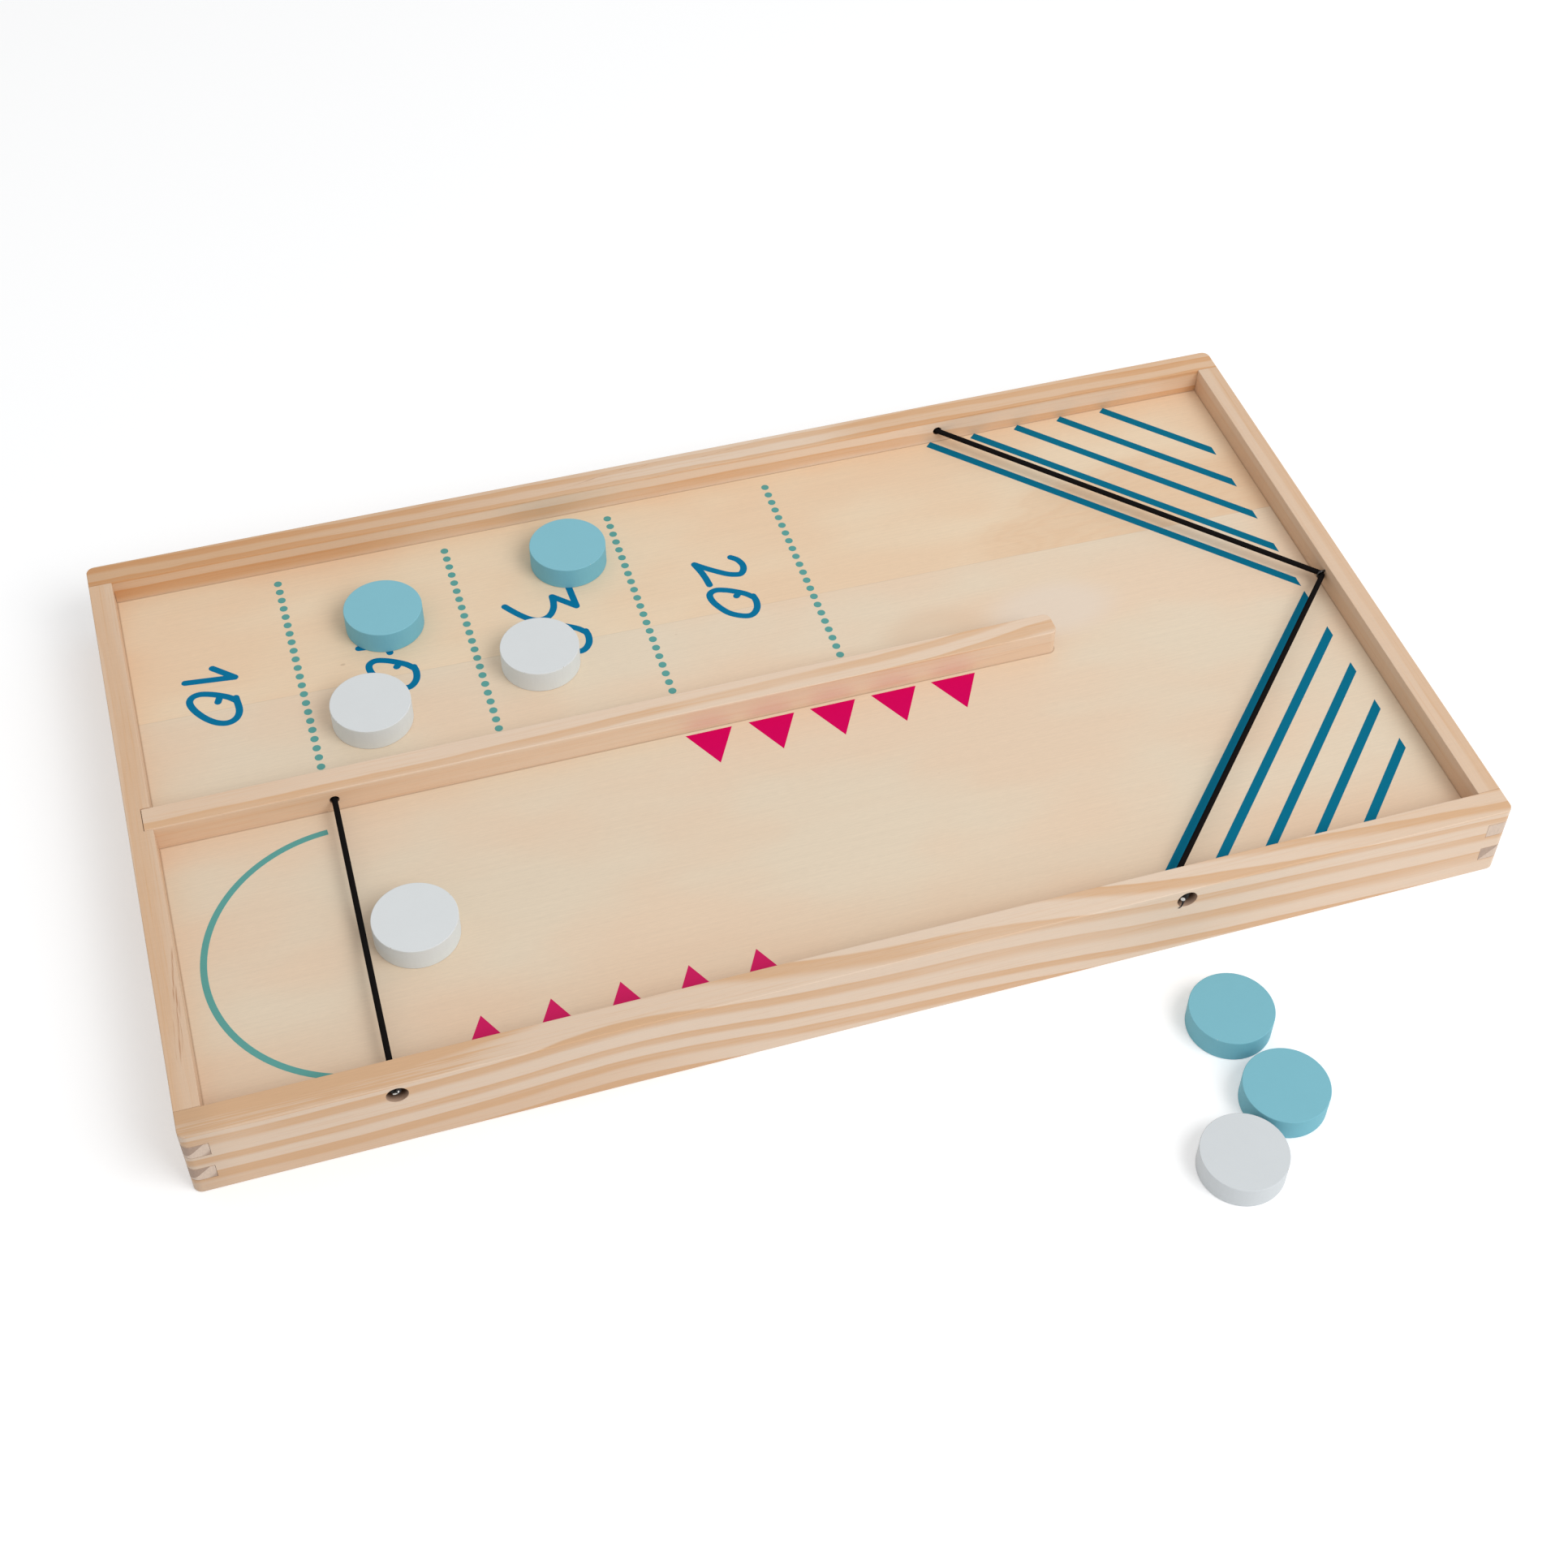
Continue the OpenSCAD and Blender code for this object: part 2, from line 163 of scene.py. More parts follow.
class ColourProperties(bpy.types.PropertyGroup):
    """Colours of the board, and the level of its lights"""

    pine: colour("Pine", "Light wood between the rings", 0.785, 0.625, 0.490)
    ring: colour("Ring", "Orange tan wood of the rings", 0.690, 0.435, 0.255)
    end_grain: colour("End grain", "Pale wood across the grain", 0.67, 0.53, 0.43)
    end_dark: colour("Dark end grain", "Rings across the grain", 0.41, 0.295, 0.230)
    drilled: colour("Drilled wood", "Mouths of the drilled holes", 0.52, 0.35, 0.255)
    veneer: colour("Veneer", "Cream of the playing floor", 0.765, 0.645, 0.495)
    veneer_warm: colour("Warm veneer", "Tan of the playing floor", 0.785, 0.610, 0.450)
    teal: colour("Teal", "Dotted lines and launch arc", 0.117, 0.365, 0.340)
    magenta: colour("Magenta", "Triangles", 0.66, 0.001, 0.105)
    number_blue: colour("Number blue", "Numbers", 0.002, 0.172, 0.345)
    stripe_blue: colour("Stripe blue", "Corner stripes", 0.002, 0.154, 0.262)
    blue_paint: colour("Blue paint", "Blue pucks", 0.232, 0.532, 0.628)
    white_paint: colour("White paint", "White pucks", 0.715, 0.745, 0.76)
    elastic: colour("Elastic", "Cords", 0.009, 0.0078, 0.0078)
    main_light: FloatProperty(name="Main light", description="Power of the soft box, in watts",
                              default=28.0, min=0.0)
    fill_light: FloatProperty(name="Fill light", description="Strength of the light all round",
                              default=0.62, min=0.0)


def reckoner(operation, swapped=False):
    """A Wire's way to reckon: a Math node fed with the wire and the other value, if any."""
    return lambda *values: values[0].nodes.math(operation, *values[::-1 if swapped else 1])


class Wire:
    """A node's output, which can be reckoned with as a number can."""

    def __init__(self, nodes, socket):
        self.nodes, self.socket = nodes, socket

    __add__ = __radd__ = reckoner("ADD")
    __mul__ = __rmul__ = reckoner("MULTIPLY")
    __sub__, __rsub__ = reckoner("SUBTRACT"), reckoner("SUBTRACT", swapped=True)
    __truediv__, __pow__, __abs__ = reckoner("DIVIDE"), reckoner("POWER"), reckoner("ABSOLUTE")


class Nodes:
    """Lays out the nodes of one tree."""

    def __init__(self, tree):
        self.tree = tree
        tree.nodes.clear()

    def make(self, kind, inputs=(), **settings):
        """A node with its settings, and its inputs in order or by name."""
        node = self.tree.nodes.new("ShaderNode" + kind)
        for key, value in settings.items():
            setattr(node, key, value)
        for key, value in inputs.items() if isinstance(inputs, dict) else enumerate(inputs):
            self.put(node.inputs[key], value)
        return node

    def wire(self, kind, inputs, out=0, **settings):
        """One output of a new node."""
        return Wire(self, self.make(kind, inputs, **settings).outputs[out])

    def put(self, socket, value):
        if isinstance(value, Wire):
            self.tree.links.new(value.socket, socket)
        else:
            socket.default_value = (*value, 1.0) if socket.type == "RGBA" else value

    def math(self, operation, *values):
        return self.wire("Math", values, operation=operation)

    def seen(self):
        """1 for a ray from the camera, also where it is mirrored or let through, and else 0."""
        path = self.make("LightPath")
        camera, glossy, through = (Wire(self, path.outputs[f"Is {ray} Ray"])
                                   for ray in ("Camera", "Glossy", "Transmission"))
        return self.math("MAXIMUM", camera, self.math("MAXIMUM", glossy, through))


class Finish(Nodes):
    """One material. Its places are in millimetres, in the piece's frame."""

    def __init__(self, name, roughness=0.5, metallic=0.0, shine=0.5):
        self.material = bpy.data.materials.new(name)
        self.material.use_nodes = True
        super().__init__(self.material.node_tree)
        self.colours = bpy.context.scene.sling_colours
        self.shader = self.make("BsdfPrincipled", {
            "Roughness": roughness, "Metallic": metallic, "Specular IOR Level": shine})
        self.make("OutputMaterial", (Wire(self, self.shader.outputs[0]),))
        where = self.make("TexCoord")
        self.normal, self.uv, place = (Wire(self, where.outputs[key])
                                       for key in ("Normal", "UV", "Object"))
        self.place = self.level(place, 1 / MM)
        self.x, self.y, self.z = self.apart(self.place)

    def apart(self, vector):
        return [Wire(self, out) for out in self.make("SeparateXYZ", (vector,)).outputs]

    def ease(self, value, low, high, start=0.0, end=1.0):
        """start below low, end above high, and smooth between them."""
        return self.wire("MapRange", (value, low, high, start, end),
                         interpolation_type="SMOOTHSTEP")

    def fall(self, value, low, high, start=1.0):
        """start below low and 0 above high."""
        return self.ease(value, low, high, start, 0.0)

    def noise(self, stretch, detail, roughness, shift=(0, 0, 0), of=None):
        """Noise from 0 to 1; stretch is how many cells there are to a millimetre each way."""
        moved = self.wire("Mapping", {"Vector": of or self.place, "Scale": stretch,
                                      "Location": shift})
        return self.wire("TexNoise", {"Vector": moved, "Scale": 1.0, "Detail": detail,
                                      "Roughness": roughness})

    def curve(self, value, points):
        """A smooth curve from 0 to 1 through points, both ways from 0 to 1."""
        node = self.make("FloatCurve", {"Value": value})
        line = node.mapping.curves[0]
        line.points[0].location, line.points[-1].location = points[0], points[-1]
        for point in points[1:-1]:
            line.points.new(*point)
        node.mapping.update()
        return Wire(self, node.outputs[0])

    def mix(self, share, a, b):
        return self.wire("Mix", {0: share, 6: a, 7: b}, 2, data_type="RGBA")

    def level(self, shade, value):
        """shade made lighter or darker by value."""
        return self.wire("VectorMath", {0: shade, "Scale": value}, operation="SCALE")

    def distance(self, a, b):
        return (a ** 2 + b ** 2) ** 0.5

    def done(self, face, roughness=None, relief=None, depth=0.0):
        """The material, with the relief of depth millimetres where relief goes from 0 to 1."""
        self.put(self.shader.inputs["Base Color"], face)
        if roughness:
            self.put(self.shader.inputs["Roughness"], roughness)
        if relief:
            self.put(self.shader.inputs["Normal"], self.wire(
                "Bump", {"Strength": 1.0, "Distance": depth * MM, "Height": relief}))
        return self.material


DEEP_RING = (0.62, 0.30, 0.12)
RESIN = (0.42, 0.20, 0.10)


def pine(name, along, rings, years, *, lean, near, strength, base, seed, wave, tone, warmth=(),
         marks=(), crowd_to=None, ends=(0.35, 0.5), scrape=0.0, sag=None, sides=1.0,
         left_end=1.0, deep=0.0):
    """Lacquered pine. rings are points (distance along, height) that one growth ring passes
    through on the face where the distance across is near, lean is the rings' rise across the
    wood, and years are the heights of the other rings above that one. strength is how strong the
    rings are, base how much of their colour the whole piece has, wave how far they wander in
    millimetres, and tone how light the two ends are. Fine streaks crowd above the ring as far
    along as crowd_to. ends holds the dark share of a year across the grain and how dark it is,
    scrape is the depth of the saw's fine cross lines, and marks are short dark lines as (on top,
    from along, across, to along, across, width, strength). warmth adds to base, as (distance
    along, share on the sides, share on top). sag lowers the rings beneath a height, as (from
    along, to along, depth, height). sides is how strong the rings are off the top, left_end how
    light the last stretch at the left is, and deep how far the colour deepens past the
    ring's."""
    f = Finish(name, roughness=0.48, shine=0.25)
    lengthwise = along == "x"
    run, across = (f.x, f.y) if lengthwise else (f.y, f.x)
    half = (OUTER_X if lengthwise else OUTER_Y) / MM
    share = (run + half) / (2 * half)
    grain = f.wire("CombineXYZ", (run, across, f.z))

    def follow(points, low, tall):
        """A curve along the wood from 0 to 1, through points whose heights start at low."""
        return f.curve(share, [((at + half) / (2 * half), (height - low) / tall)
                               for at, height in points])

    def streaks(lengthways, sideways, detail, roughness, *shift):
        return f.noise((lengthways, sideways, sideways), detail, roughness, shift, grain)

    low = min(height for _, height in rings) - 5
    tall = max(height for _, height in rings) + 5 - low
    height = f.z - (follow(rings, low, tall) * tall + low) - (across - near) * lean
    if sag:
        sag_from, sag_to, depth, beneath = sag
        height = height + (f.ease(run, sag_from, sag_to, 0.0, depth)
                           * f.fall(height, beneath - 6, beneath))
    sway = streaks(0.014, 0.05, 1.5, 0.4, seed, seed, 0)
    ripple = streaks(0.045, 0.25, 2.0, 0.5, seed, 3, 0)
    bent = height + (sway - 0.5) * (2 * wave) + (ripple - 0.5) * 0.9
    first, span, number = years[0], years[-1] - years[0], len(years) - 1
    steps = [((at - first) / span, i / number) for i, at in enumerate(years)]

    def count(value):
        return f.curve((value - first) / span, steps) * float(number)

    year = f.math("FRACT", count(bent) + 0.5)
    edge = f.fall(year, 0.51, 0.57)
    late = (f.math("MINIMUM", f.ease(year, 0.02, 0.26), edge) * 0.86
            + f.math("MINIMUM", f.ease(year, 0.40, 0.50), edge) * 0.16)
    patchy = streaks(0.010, 0.05, 1.0, 0.5, seed, 0, 7)
    late = late * f.ease(patchy, 0.32, 0.60, 0.65 * strength, strength)
    on_top = f.math("GREATER_THAN", f.z, (TOP - MM) / MM)
    if sides != 1.0:
        late = late * (sides + on_top * (1.0 - sides))
    streak = streaks(0.014, 1.1, 3.0, 0.62, 0, seed, 0)
    fine = streaks(0.05, 2.6, 2.0, 0.6, seed, 1, 0)
    pores = streaks(0.16, 4.0, 2.0, 0.6, seed, 0, 0)
    late = late + f.ease(streak, 0.50, 0.72) * 0.28 + (base - 0.02) + (fine - 0.5) * 0.44
    # warmth adds the wood's own warmth to base, and in places painted shade, such as the back
    # rail's right corner
    if warmth:
        low_more, top_more = (follow([(at[0], at[i]) for at in warmth], -0.5, 1) for i in (1, 2))
        late = late + (low_more + on_top * (top_more - low_more) - 0.5)
    if crowd_to is not None:
        crowd = (f.fall(run, crowd_to - 60, crowd_to)
                 * (f.ease(bent, 2.5, 5) * f.fall(bent, 11, 14)))
        foot = f.fall(run, crowd_to, crowd_to + 90) * f.fall(bent, -27.0, -25.4)
        late = late + crowd * 0.45 + foot * 0.35 + crowd * f.ease(streak, 0.46, 0.60) * 0.8
    face = f.mix(late, f.colours.pine, f.colours.ring)
    if deep:
        face = f.mix((late - 1.0) * deep, face, DEEP_RING)
    broad = streaks(0.006, 0.02, 1.0, 0.5, 0, 0, seed)
    light = 0.86 + broad * 0.06 + pores * 0.12 + fine * 0.11
    if scrape:
        light = light + (streaks(1.1, 0.05, 2.0, 0.6, 0, seed, 0) - 0.5) * scrape
    # tone draws the piece lighter towards one end: partly the wood's own tone, partly painted
    # light that falls off towards the left and the front
    face = f.level(f.level(face, light), f.ease(run, -half, half, *tone))
    # Painted shade: on the long rails the last stretch at the left end, by the corner, is drawn
    # darker by left_end
    if lengthwise:
        face = f.level(face, f.ease(run, -half + 2, -half + 24, left_end, 1.0))
    for top, run_a, side_a, run_b, side_b, wide, dark in marks:
        rise = (side_b - side_a) / (run_b - run_a)
        middle, reach = (run_a + run_b) / 2, abs(run_b - run_a) / 2
        gap = (across if top else f.z) - (side_a + (run - run_a) * rise)
        there = (f.fall(abs(gap + (ripple - 0.5) * 1.2), 0.0, wide, dark)
                 * f.ease(fine, 0.38, 0.58)
                 * f.fall(abs(run - middle), reach * 0.6, reach)
                 * (on_top if top else 1.0 - on_top))
        face = f.mix(there, face, RESIN)
    # Across the grain the rings close up and turn grey brown
    facing = abs(f.apart(f.normal)[0 if lengthwise else 1])
    if lengthwise:
        cut = f.ease(facing, 0.80, 0.97)
    else:
        cut = f.ease(facing, 0.10, 0.25) * f.ease(abs(run), INNER_Y / MM, INNER_Y / MM + 0.3)
    fleck = f.noise((1.4, 1.4, 0.5), 3.0, 0.65, (seed, 0, 0))
    dark_share, dark = ends
    since = f.math("FRACT", count(height))
    across_face = f.mix(f.fall(since, dark_share - 0.10, dark_share + 0.10, dark),
                        f.colours.end_grain, f.colours.end_dark)
    face = f.mix(cut, face, f.level(across_face, 0.82 + fleck * 0.36))
    return f.done(face, 0.45 + pores * 0.10 + cut * 0.12, streak + pores * 0.5, 0.035)


def drilled(mouth):
    """The rough wall of a drilled hole, darker than the planed wood, with painted shade that
    turns it a deep dark brown with its depth below the mouth, which is at y = mouth on either
    side."""
    f = Finish("drilled_pine", roughness=0.75, shine=0.1)
    turn = f.noise((0.5, 2.2, 0.5), 3.0, 0.6)
    depth = mouth / MM - abs(f.y)
    # Painted shade: the wall is drawn darker the deeper it lies below the mouth
    tone = f.mix(f.ease(depth, 0.3, 4.5), f.colours.drilled, (0.11, 0.060, 0.036))
    return f.done(f.level(tone, 0.80 + turn * 0.36), None, turn, 0.12)


def veneer():
    """The birch face of the playing floor: two leaves that meet at a seam, the further one warmer
    and with a darker patch of curling grain at its right end. The near leaf carries painted
    light, slightly lighter towards the right, and painted shade along the front rail."""
    f = Finish("floor_veneer", roughness=0.5, shine=0.3)
    cloud = f.noise((0.011, 0.017, 0.02), 2.0, 0.5, (2.3, 5.1, 0))
    drift = f.noise((0.004, 0.03, 0.02), 1.0, 0.4, (8.0, 1.0, 0))
    warm = f.ease(cloud * 0.7 + drift * 0.3, 0.38, 0.62)
    near_leaf = f.mix(warm, f.colours.veneer, f.colours.veneer_warm)
    # Painted light: the near leaf is drawn slightly lighter towards the right
    near_leaf = f.level(near_leaf, 0.985 + f.ease(f.x, -280, 60) * 0.015)
    # Painted shade of the front rail: darker and warmer along its foot
    near_leaf = f.mix(f.fall(f.y, -152, -108, 0.5), near_leaf, (0.700, 0.485, 0.330))
    far_leaf = f.mix(warm, (0.805, 0.645, 0.465), (0.800, 0.595, 0.410))
    curl = f.noise((0.02, 0.06, 0.02), 2.0, 0.5, (1.7, 0, 0))
    out = abs((f.x - 232) / 104) ** 2 + abs((f.y - 62) / 56) ** 2 + (curl - 0.5) * 0.9
    ripple = f.math("SINE", (out + curl * 0.3) * 34)
    patch = f.fall(out, 0.55, 1.15) * (0.85 + ripple * 0.12)
    far_leaf = f.mix(patch, far_leaf, (0.765, 0.545, 0.360))
    # The seam runs almost along the board, from 72 mm behind the middle to 60 mm
    past_seam = f.y - (72 + (f.x + 288) * (-12 / 578))
    face = f.mix(f.ease(past_seam, -0.12, 0.12), near_leaf, far_leaf)
    face = f.level(face, f.ease(f.y, -70, 30, 1.0, 1.035))
    # Short fine pores along the grain
    pores = f.noise((0.22, 1.9, 1.0), 2.0, 0.65)
    thread = f.noise((0.018, 0.9, 0.5), 3.0, 0.6, (4, 0, 0))
    face = f.level(face, 0.88 + pores * 0.13 + thread * 0.11)
    face = f.level(face, 1.0 - f.fall(abs(past_seam), 0.05, 0.35, 0.10))
    # A thin dark line where the floor meets the rails and the divider
    middle = (DIVIDER_LOW.y + DIVIDER_HIGH.y) / 2 / MM
    half = (DIVIDER_HIGH.y - DIVIDER_LOW.y) / 2 / MM
    corner = bpy.context.scene.sling_tray.divider_round / MM
    past_side = f.math("MAXIMUM", abs(f.y - middle) - (half - corner), 0.0)
    past_end = f.math("MAXIMUM", f.x - (DIVIDER_HIGH.x / MM - corner), 0.0)
    beside = f.distance(past_side, past_end) - corner
    wall = f.math("MINIMUM", INNER_Y / MM - abs(f.y), INNER_X / MM - abs(f.x))
    wall = f.math("MINIMUM", wall, beside)
    face = f.mix(f.fall(wall, 0.2, 0.9, 0.6), face, (0.33, 0.19, 0.10))
    # Two soft patches of other colour behind the divider, then four small dark specks
    speck = (0.30, 0.17, 0.08)
    for x, y, wide, strength, other in (
            (152, 22, 24, 0.6, (0.79, 0.69, 0.59)), (92, 24, 20, 0.5, (0.73, 0.53, 0.37)),
            (-190.2, 84, 0.9, 0.30, speck), (-31, 58, 0.5, 0.16, speck),
            (206, 12, 0.5, 0.14, speck), (62, -64, 0.45, 0.14, speck)):
        gap = f.distance((f.x - x) / 1.8, f.y - y)
        face = f.mix(f.fall(gap, wide * 0.4, wide, strength), face, other)
    return f.done(face, 0.46 + pores * 0.10, pores * 0.6 + thread * 0.4, 0.02)


def ink(name, shade, dull=0.0):
    """Printed colour that lets a trace of the wood's pores through. dull is how much greyer it is
    along the front of the lane."""
    f = Finish(name, roughness=0.52, shine=0.03)
    pores = f.noise((0.22, 1.9, 1.0), 2.0, 0.65)
    grit = f.noise((1.6, 1.6, 1.0), 2.0, 0.6, (3, 0, 0))
    face = f.level(shade, 0.95 + pores * 0.05 + grit * 0.05)
    if dull:
        face = f.mix(f.fall(f.y, -135, -110, dull), face, (0.05, 0.15, 0.22))
    return f.done(face, None, pores, 0.01)


def paint(name, top_lit_colour, side_lit_colour, bare, radius, half):
    """Matt paint on turned wood, rubbed through to bare in specks along the rims. Its top and its
    side take their own colours as painted light.
    """
    f = Finish(name, roughness=0.62, shine=0.25)
    mottle = f.noise((0.09, 0.09, 0.09), 3.0, 0.6)
    peel = f.noise((1.5, 1.5, 1.5), 2.0, 0.5)
    grain = f.noise((0.9, 0.9, 0.10), 3.0, 0.6)
    rim = (f.ease(f.distance(f.x, f.y), radius - 0.5, radius - 0.2)
           * f.ease(abs(f.z), half - 0.45, half - 0.2))
    speck = f.ease(f.noise((0.55, 0.55, 0.9), 2.0, 0.6, (1, 2, 3)), 0.655, 0.70)
    # Painted light: the side takes its own lighter or darker colour
    side = f.fall(abs(f.apart(f.normal)[2]), 0.3, 0.6)
    tone = 0.965 + mottle * 0.045 + peel * 0.025 - side * grain * 0.05
    coat = f.level(f.mix(side, top_lit_colour, side_lit_colour), tone)
    return f.done(f.mix(rim * speck * 0.7, coat, bare), 0.57 + mottle * 0.10,
                  peel * 0.5 + side * grain * 0.8, 0.03)


def braid(name, radius, shine=0.0):
    """Black elastic in a fine woven sleeve of 16 strands, which follow the cord's own length."""
    f = Finish(name, roughness=0.6, shine=shine)
    round_share, run, _ = f.apart(f.uv)
    turns = round_share * (math.pi * 16)
    step = run * (math.pi * 16 / (radius * 4.2))
    over = f.math("MAXIMUM", f.math("SINE", turns + step), f.math("SINE", turns - step))
    weave = over * 0.5 + 0.5
    lint = f.noise((0.8, 0.8, 0.8), 3.0, 0.6)
    return f.done(f.level(f.colours.elastic, 0.86 + weave * 0.05 + lint * 0.4),
                  0.50 + lint * 0.20, weave, 0.006)


def pale_cord_ends():
    """The pale finish of each knot's tail end, and of the thin curl at the front launch knot's
    tail.
    """
    f = Finish("cord_core", roughness=0.45, shine=0.3)
    strands = f.noise((2.5, 2.5, 2.5), 2.0, 0.6)
    return f.done(f.level((0.80, 0.79, 0.76), 0.86 + strands * 0.22))


def steel(name, shade, roughness):
    """Zinc-plated steel with fine drawing marks."""
    f = Finish(name, roughness=roughness, metallic=1.0)
    marks = f.noise((0.6, 5.0, 5.0), 2.0, 0.6)
    return f.done(f.level(shade, 0.86 + marks * 0.20), roughness - 0.06 + marks * 0.14,
                  marks, 0.01)


def prism(rings):
    """A closed solid through rings of points, each with as many points as the next."""
    bm = bmesh.new()
    loops = [[bm.verts.new(point) for point in ring] for ring in rings]
    count = len(loops[0])
    for low, high in zip(loops, loops[1:]):
        for i in range(count):
            j = (i + 1) % count
            bm.faces.new((low[i], low[j], high[j], high[i]))
    bm.faces.new(loops[0][::-1])
    bm.faces.new(loops[-1])
    bmesh.ops.recalc_face_normals(bm, faces=bm.faces)
    return bm


def block(a, b):
    """A block between two opposite corners."""
    (x0, x1), (y0, y1), heights = (sorted(pair) for pair in zip(a, b))
    return prism([[(x0, y0, z), (x1, y0, z), (x1, y1, z), (x0, y1, z)] for z in heights])


def plan(low, high, radii, inset):
    """A rectangle's outline in plan, its corners rounded by radii and the whole drawn in by
    inset. The corners go anticlockwise from the lowest x and y."""
    (x0, y0), (x1, y1) = low, high
    points, steps = [], 8
    corners = ((x0, y0, 180), (x1, y0, 270), (x1, y1, 0), (x0, y1, 90))
    for (x, y, start), radius in zip(corners, radii):
        reach = max(radius, inset, 1e-5)
        cx = x + reach * (1 if x == x0 else -1)
        cy = y + reach * (1 if y == y0 else -1)
        bend = reach - inset if radius else (reach - inset) * math.sqrt(2)
        for i in range(steps + 1) if radius else (steps / 2,):
            turn = math.radians(start + 90 * i / steps)
            points.append((cx + bend * math.cos(turn), cy + bend * math.sin(turn)))
    return points


def eased_rings(low, high, radii, round_top, round_foot):
    """Rings for a prism whose top and foot edges are rounded."""
    def edge(size):
        return [(size * (1 - math.sin(t)), size * (1 - math.cos(t)))
                for t in QUARTER] if size else [(0.0, 0.0)]

    rings = [(low[2] + rise, inset) for rise, inset in reversed(edge(round_foot))]
    rings += [(high[2] - drop, inset) for drop, inset in edge(round_top)]
    return [[(x, y, z) for x, y in plan(low[:2], high[:2], radii, inset)] for z, inset in rings]


def turned(profile, sides, at=(0, 0, 0), axis=(0, 0, 1)):
    """A solid of revolution. profile holds (radius, height), from the axis back to the axis."""
    bm = bmesh.new()
    turn = Vector((0, 0, 1)).rotation_difference(Vector(axis).normalized()).to_matrix().to_4x4()
    stand = Matrix.Translation(Vector(at)) @ turn
    rows = []
    for radius, height in profile:
        ring = [(0, 0)] if radius < 1e-9 else disc(0, 0, radius, sides)
        rows.append([bm.verts.new(stand @ Vector((x, y, height))) for x, y in ring])
    for low, high in zip(rows, rows[1:]):
        for i in range(sides):
            j = (i + 1) % sides
            corners = list(dict.fromkeys((low[i % len(low)], low[j % len(low)],
                                          high[j % len(high)], high[i % len(high)])))
            if len(corners) > 2:
                bm.faces.new(corners)
    bmesh.ops.recalc_face_normals(bm, faces=bm.faces)
    return bm


def drill(radius, low, high, at, axis=(0, 0, 1)):
    """A cutter for a plain round hole."""
    return turned([(0, low), (radius, low), (radius, high), (0, high)], 24, at, axis)


def sweep(bm, path, radius, sides, closed=False, run=0.0):
    """Adds a round tube along path to bm, with a UV map of the share round it and the metres
    along, from run. Returns the metres at its end."""
    uv = bm.loops.layers.uv.verify()
    path = [Vector(p) for p in path]
    count = len(path)
    ahead = [(path[(i + 1) % count] - path[i - 1] if closed
              else path[min(i + 1, count - 1)] - path[max(i - 1, 0)]).normalized()
             for i in range(count)]
    side = ahead[0].orthogonal().normalized()
    if abs(ahead[0].z) < 0.9:
        side = ahead[0].cross(Vector((0, 0, 1))).normalized()
    rings, runs = [], []
    for i, point in enumerate(path):
        if i:
            side = (side - ahead[i] * side.dot(ahead[i])).normalized()
            run += (point - path[i - 1]).length
        up = ahead[i].cross(side)
        wide = radius(i / (count - 1)) if callable(radius) else radius
        rings.append([bm.verts.new(point + wide * (math.cos(a) * side + math.sin(a) * up))
                      for a in (2 * math.pi * k / sides for k in range(sides))])
        runs.append(run)
    if closed:
        # The first ring comes round again, turned to where it lies closest to the last
        shift = min(range(sides), key=lambda s: (rings[-1][0].co - rings[0][s].co).length)
        rings.append(rings[0][shift:] + rings[0][:shift])
        runs.append(run + (path[0] - path[-1]).length)
    for low, high, start, end in zip(rings, rings[1:], runs, runs[1:]):
        for k in range(sides):
            n = (k + 1) % sides
            face = bm.faces.new((low[k], low[n], high[n], high[k]))
            places = ((k, start), (k + 1, start), (k + 1, end), (k, end))
            for loop, (turn, along) in zip(face.loops, places):
                loop[uv].uv = (turn / sides, along)
    if not closed:
        bm.faces.new(rings[0][::-1])
        bm.faces.new(rings[-1])
    return run


def flat_solid(shapes, film, z):
    """One thin closed solid that covers every shape, each a list of plan points, from z up."""
    points, faces = [], []
    for shape in shapes:
        faces.append(list(range(len(points), len(points) + len(shape))))
        points += [Vector(p) for p in shape]
    made = delaunay_2d_cdt(points, [], faces, 1, 1e-7)
    bm = bmesh.new()
    corners = [bm.verts.new((p.x, p.y, z)) for p in made[0]]
    for face, given in zip(made[2], made[5]):
        if given:
            bm.faces.new([corners[i] for i in face])
    bmesh.ops.delete(bm, geom=[v for v in bm.verts if not v.link_faces], context="VERTS")
    bmesh.ops.dissolve_limit(bm, angle_limit=math.radians(0.5), verts=bm.verts, edges=bm.edges)
    grown = bmesh.ops.extrude_face_region(bm, geom=list(bm.faces))
    bmesh.ops.translate(bm, vec=(0, 0, film),
                        verts=[g for g in grown["geom"] if isinstance(g, bmesh.types.BMVert)])
    bmesh.ops.recalc_face_normals(bm, faces=bm.faces)
    return bm


def disc(x, y, radius, sides=28):
    return [(x + radius * math.cos(2 * math.pi * i / sides),
             y + radius * math.sin(2 * math.pi * i / sides)) for i in range(sides)]


def stroke(points, width, smooth):
    """Shapes that cover a line of even width with round ends, drawn through points."""
    line = [Vector(p) for p in points]
    if smooth:
        padded = [2 * line[0] - line[1], *line, 2 * line[-1] - line[-2]]
        line = []
        for a, b, c, d in zip(padded, padded[1:], padded[2:], padded[3:]):
            for t in (i / 6 for i in range(6)):
                line.append(0.5 * (2 * b + (c - a) * t + (2 * a - 5 * b + 4 * c - d) * t * t
                                   + (3 * b - a - 3 * c + d) * t ** 3))
        line.append(padded[-2])
    shapes = [disc(p.x, p.y, width / 2) for p in line]
    for a, b in zip(line, line[1:]):
        if (b - a).length > 1e-6:
            side = (b - a).orthogonal().normalized() * width / 2
            shapes.append([a + side, a - side, b - side, b + side])
    return shapes


def solid_object(bm, name="part"):
    mesh = bpy.data.meshes.new(name)
    bm.to_mesh(mesh)
    bm.free()
    made = bpy.data.objects.new(name, mesh)
    bpy.context.scene.collection.objects.link(made)
    return made


